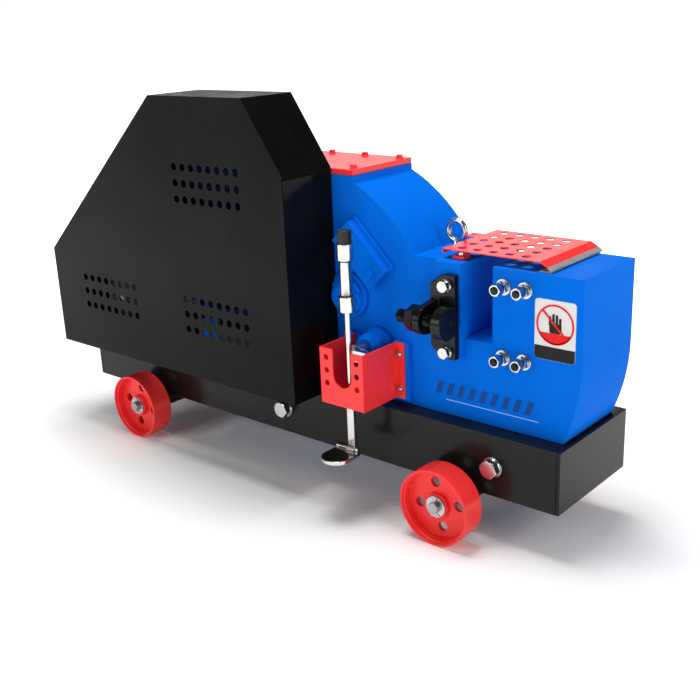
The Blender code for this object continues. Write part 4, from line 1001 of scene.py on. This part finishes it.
def build_drive():
    x, z = FLYWHEEL
    r = FLYWHEEL_RADIUS
    half = [(0.0153, 0.028), (0.034, 0.028), (0.036, 0.010), (0.164, 0.007), (0.165, 0.026), (r, 0.026)]
    profile = half + v_grooves(r) + [(radius, -height) for radius, height in reversed(half)]
    # the flywheel takes the darkened blue, painted shade for the shadow inside the guard
    lathe("flywheel_turned", profile, (x, BELT_Y, z), "Y", "painted_shade_blue", "flywheel", ("flywheel_pulley",), 128)
    hex_piece("flywheel_end_bolt", (x, -0.0682, z), "-Y", 0.024, 0.012, "zinc", "flywheel")
    disc = [(0, 0.0035), (0.024, 0.0035), (0.025, 0.0025), (0.025, 0), (0, 0)]
    lathe("flywheel_end_washer", disc, (x, -0.0647, z), "-Y", "zinc", "flywheel", (), 48)
    r = PULLEY_RADIUS
    profile = [(0.0143, 0.026), (r, 0.026)] + v_grooves(r) + [(r, -0.026), (0.0143, -0.026)]
    spot = (MOTOR[0], BELT_Y, MOTOR[1])
    lathe("motor_pulley_turned", profile, spot, "Y", "iron", "motor_rotor", ("motor_pulley",), 72)
    build_belts()
    for node in ("input_shaft", "intermediate_shaft", "crankshaft", "motor_shaft"):
        refined(node, "steel", 0.0005)
    for node in ("intermediate_gear", "crank_gear", "connecting_rod"):
        refined(node, "iron", 0.0004)


FAN_COWL = [
    (0.030, 0.0450), (0.080, 0.0450), (0.1100, 0.0280), (0.1130, 0.0050), (0.1130, -0.006), (0.1105, -0.006),
    (0.1105, 0.0050), (0.1075, 0.0265), (0.0790, 0.0425), (0.030, 0.0425),
]
END_BELL = [(0.0165, 0.0), (0.112, 0.0), (0.1145, 0.003), (0.1145, 0.014), (0.112, 0.017), (0.0165, 0.017)]
CABLE_GLAND = [
    (0, 0.018), (0.008, 0.018), (0.010, 0.012), (0.010, 0.008), (0.013, 0.008), (0.013, 0.0), (0, 0.0),
]


def build_fins():
    """Cooling fins round the motor, but not at its feet or under its terminal box."""
    mx, mz = MOTOR
    for i in range(40):
        angle = 2 * math.pi * i / 40
        dx, dz = math.cos(angle), math.sin(angle)
        if dz < -0.55 or (dz > 0.9 and abs(dx) < 0.42):
            continue
        way, side = Vector((dx, dz)), Vector((-dz, dx)) * 0.0013
        root, tip = way * 0.1070, way * 0.1195
        corners = (root + side, root - side, tip - side * 0.6, tip + side * 0.6)
        prism(f"motor_fin_{i}", [(mx + p.x, mz + p.y) for p in corners], 0.062, 0.288, "grey", "machine")


def build_motor():
    mx, mz = MOTOR
    refined("motor_body", "grey", 0.001)
    refined("motor_terminal_box", "grey", 0.002, 3)
    build_fins()
    cowl = rounded(FAN_COWL, 0.004)
    lathe("motor_fan_cowl", cowl, (mx, 0.300, mz), "Y", "grey", "machine", ("motor_fan_cover",), 80)
    for i, r in enumerate((0.012, 0.020, 0.028)):
        points = [(px, 0.3425, pz) for px, pz in circle((mx, mz), r, 40)]
        tube(f"fan_grille_ring_{i}", points, 0.0011, "grey", "machine", True, 3)
    for i in range(6):
        dx, dz = 0.031 * math.cos(math.pi * i / 6), 0.031 * math.sin(math.pi * i / 6)
        ends = [(mx - dx, 0.3433, mz - dz), (mx + dx, 0.3433, mz + dz)]
        tube(f"fan_grille_spoke_{i}", ends, 0.0011, "grey", "machine", False, 3)
    bell = rounded(END_BELL, 0.002)
    for name, y in (("drive", 0.0430), ("fan", 0.2870)):
        lathe(f"motor_end_bell_{name}", bell, (mx, y, mz), "Y", "grey", "machine", (), 80)
    _, high, middle = cad_box("motor_terminal_box")
    for i, (sx, sy) in enumerate(((-1, -1), (1, -1), (1, 1), (-1, 1))):
        screw = (middle.x + sx * 0.032, middle.y + sy * 0.037, high.z)
        hex_piece(f"terminal_screw_{i}", screw, "Z", 0.007, 0.003, "zinc", "machine")
    gland = (middle.x + 0.040, middle.y, middle.z - 0.004)
    lathe("cable_gland", rounded(CABLE_GLAND, 0.0006), gland, "X", "plastic", "machine", (), 40)
    for i, (sx, y) in enumerate(((-1, 0.110), (1, 0.110), (-1, 0.215), (1, 0.215))):
        foot = (mx + sx * 0.092, y, 0.1405)
        hex_piece(f"motor_foot_bolt_{i}", foot, "Z", 0.017, 0.008, "zinc", "machine")


build_camera()
build_world()
build_lights()
build_floor()
build_frame()
build_wheels()
build_guard()
build_housing()
build_labels()
build_stop()
build_studs()
build_eye_bolt()
build_blade_guard()
build_lever()
build_drive()
build_motor()

bpy.context.view_layer.update()
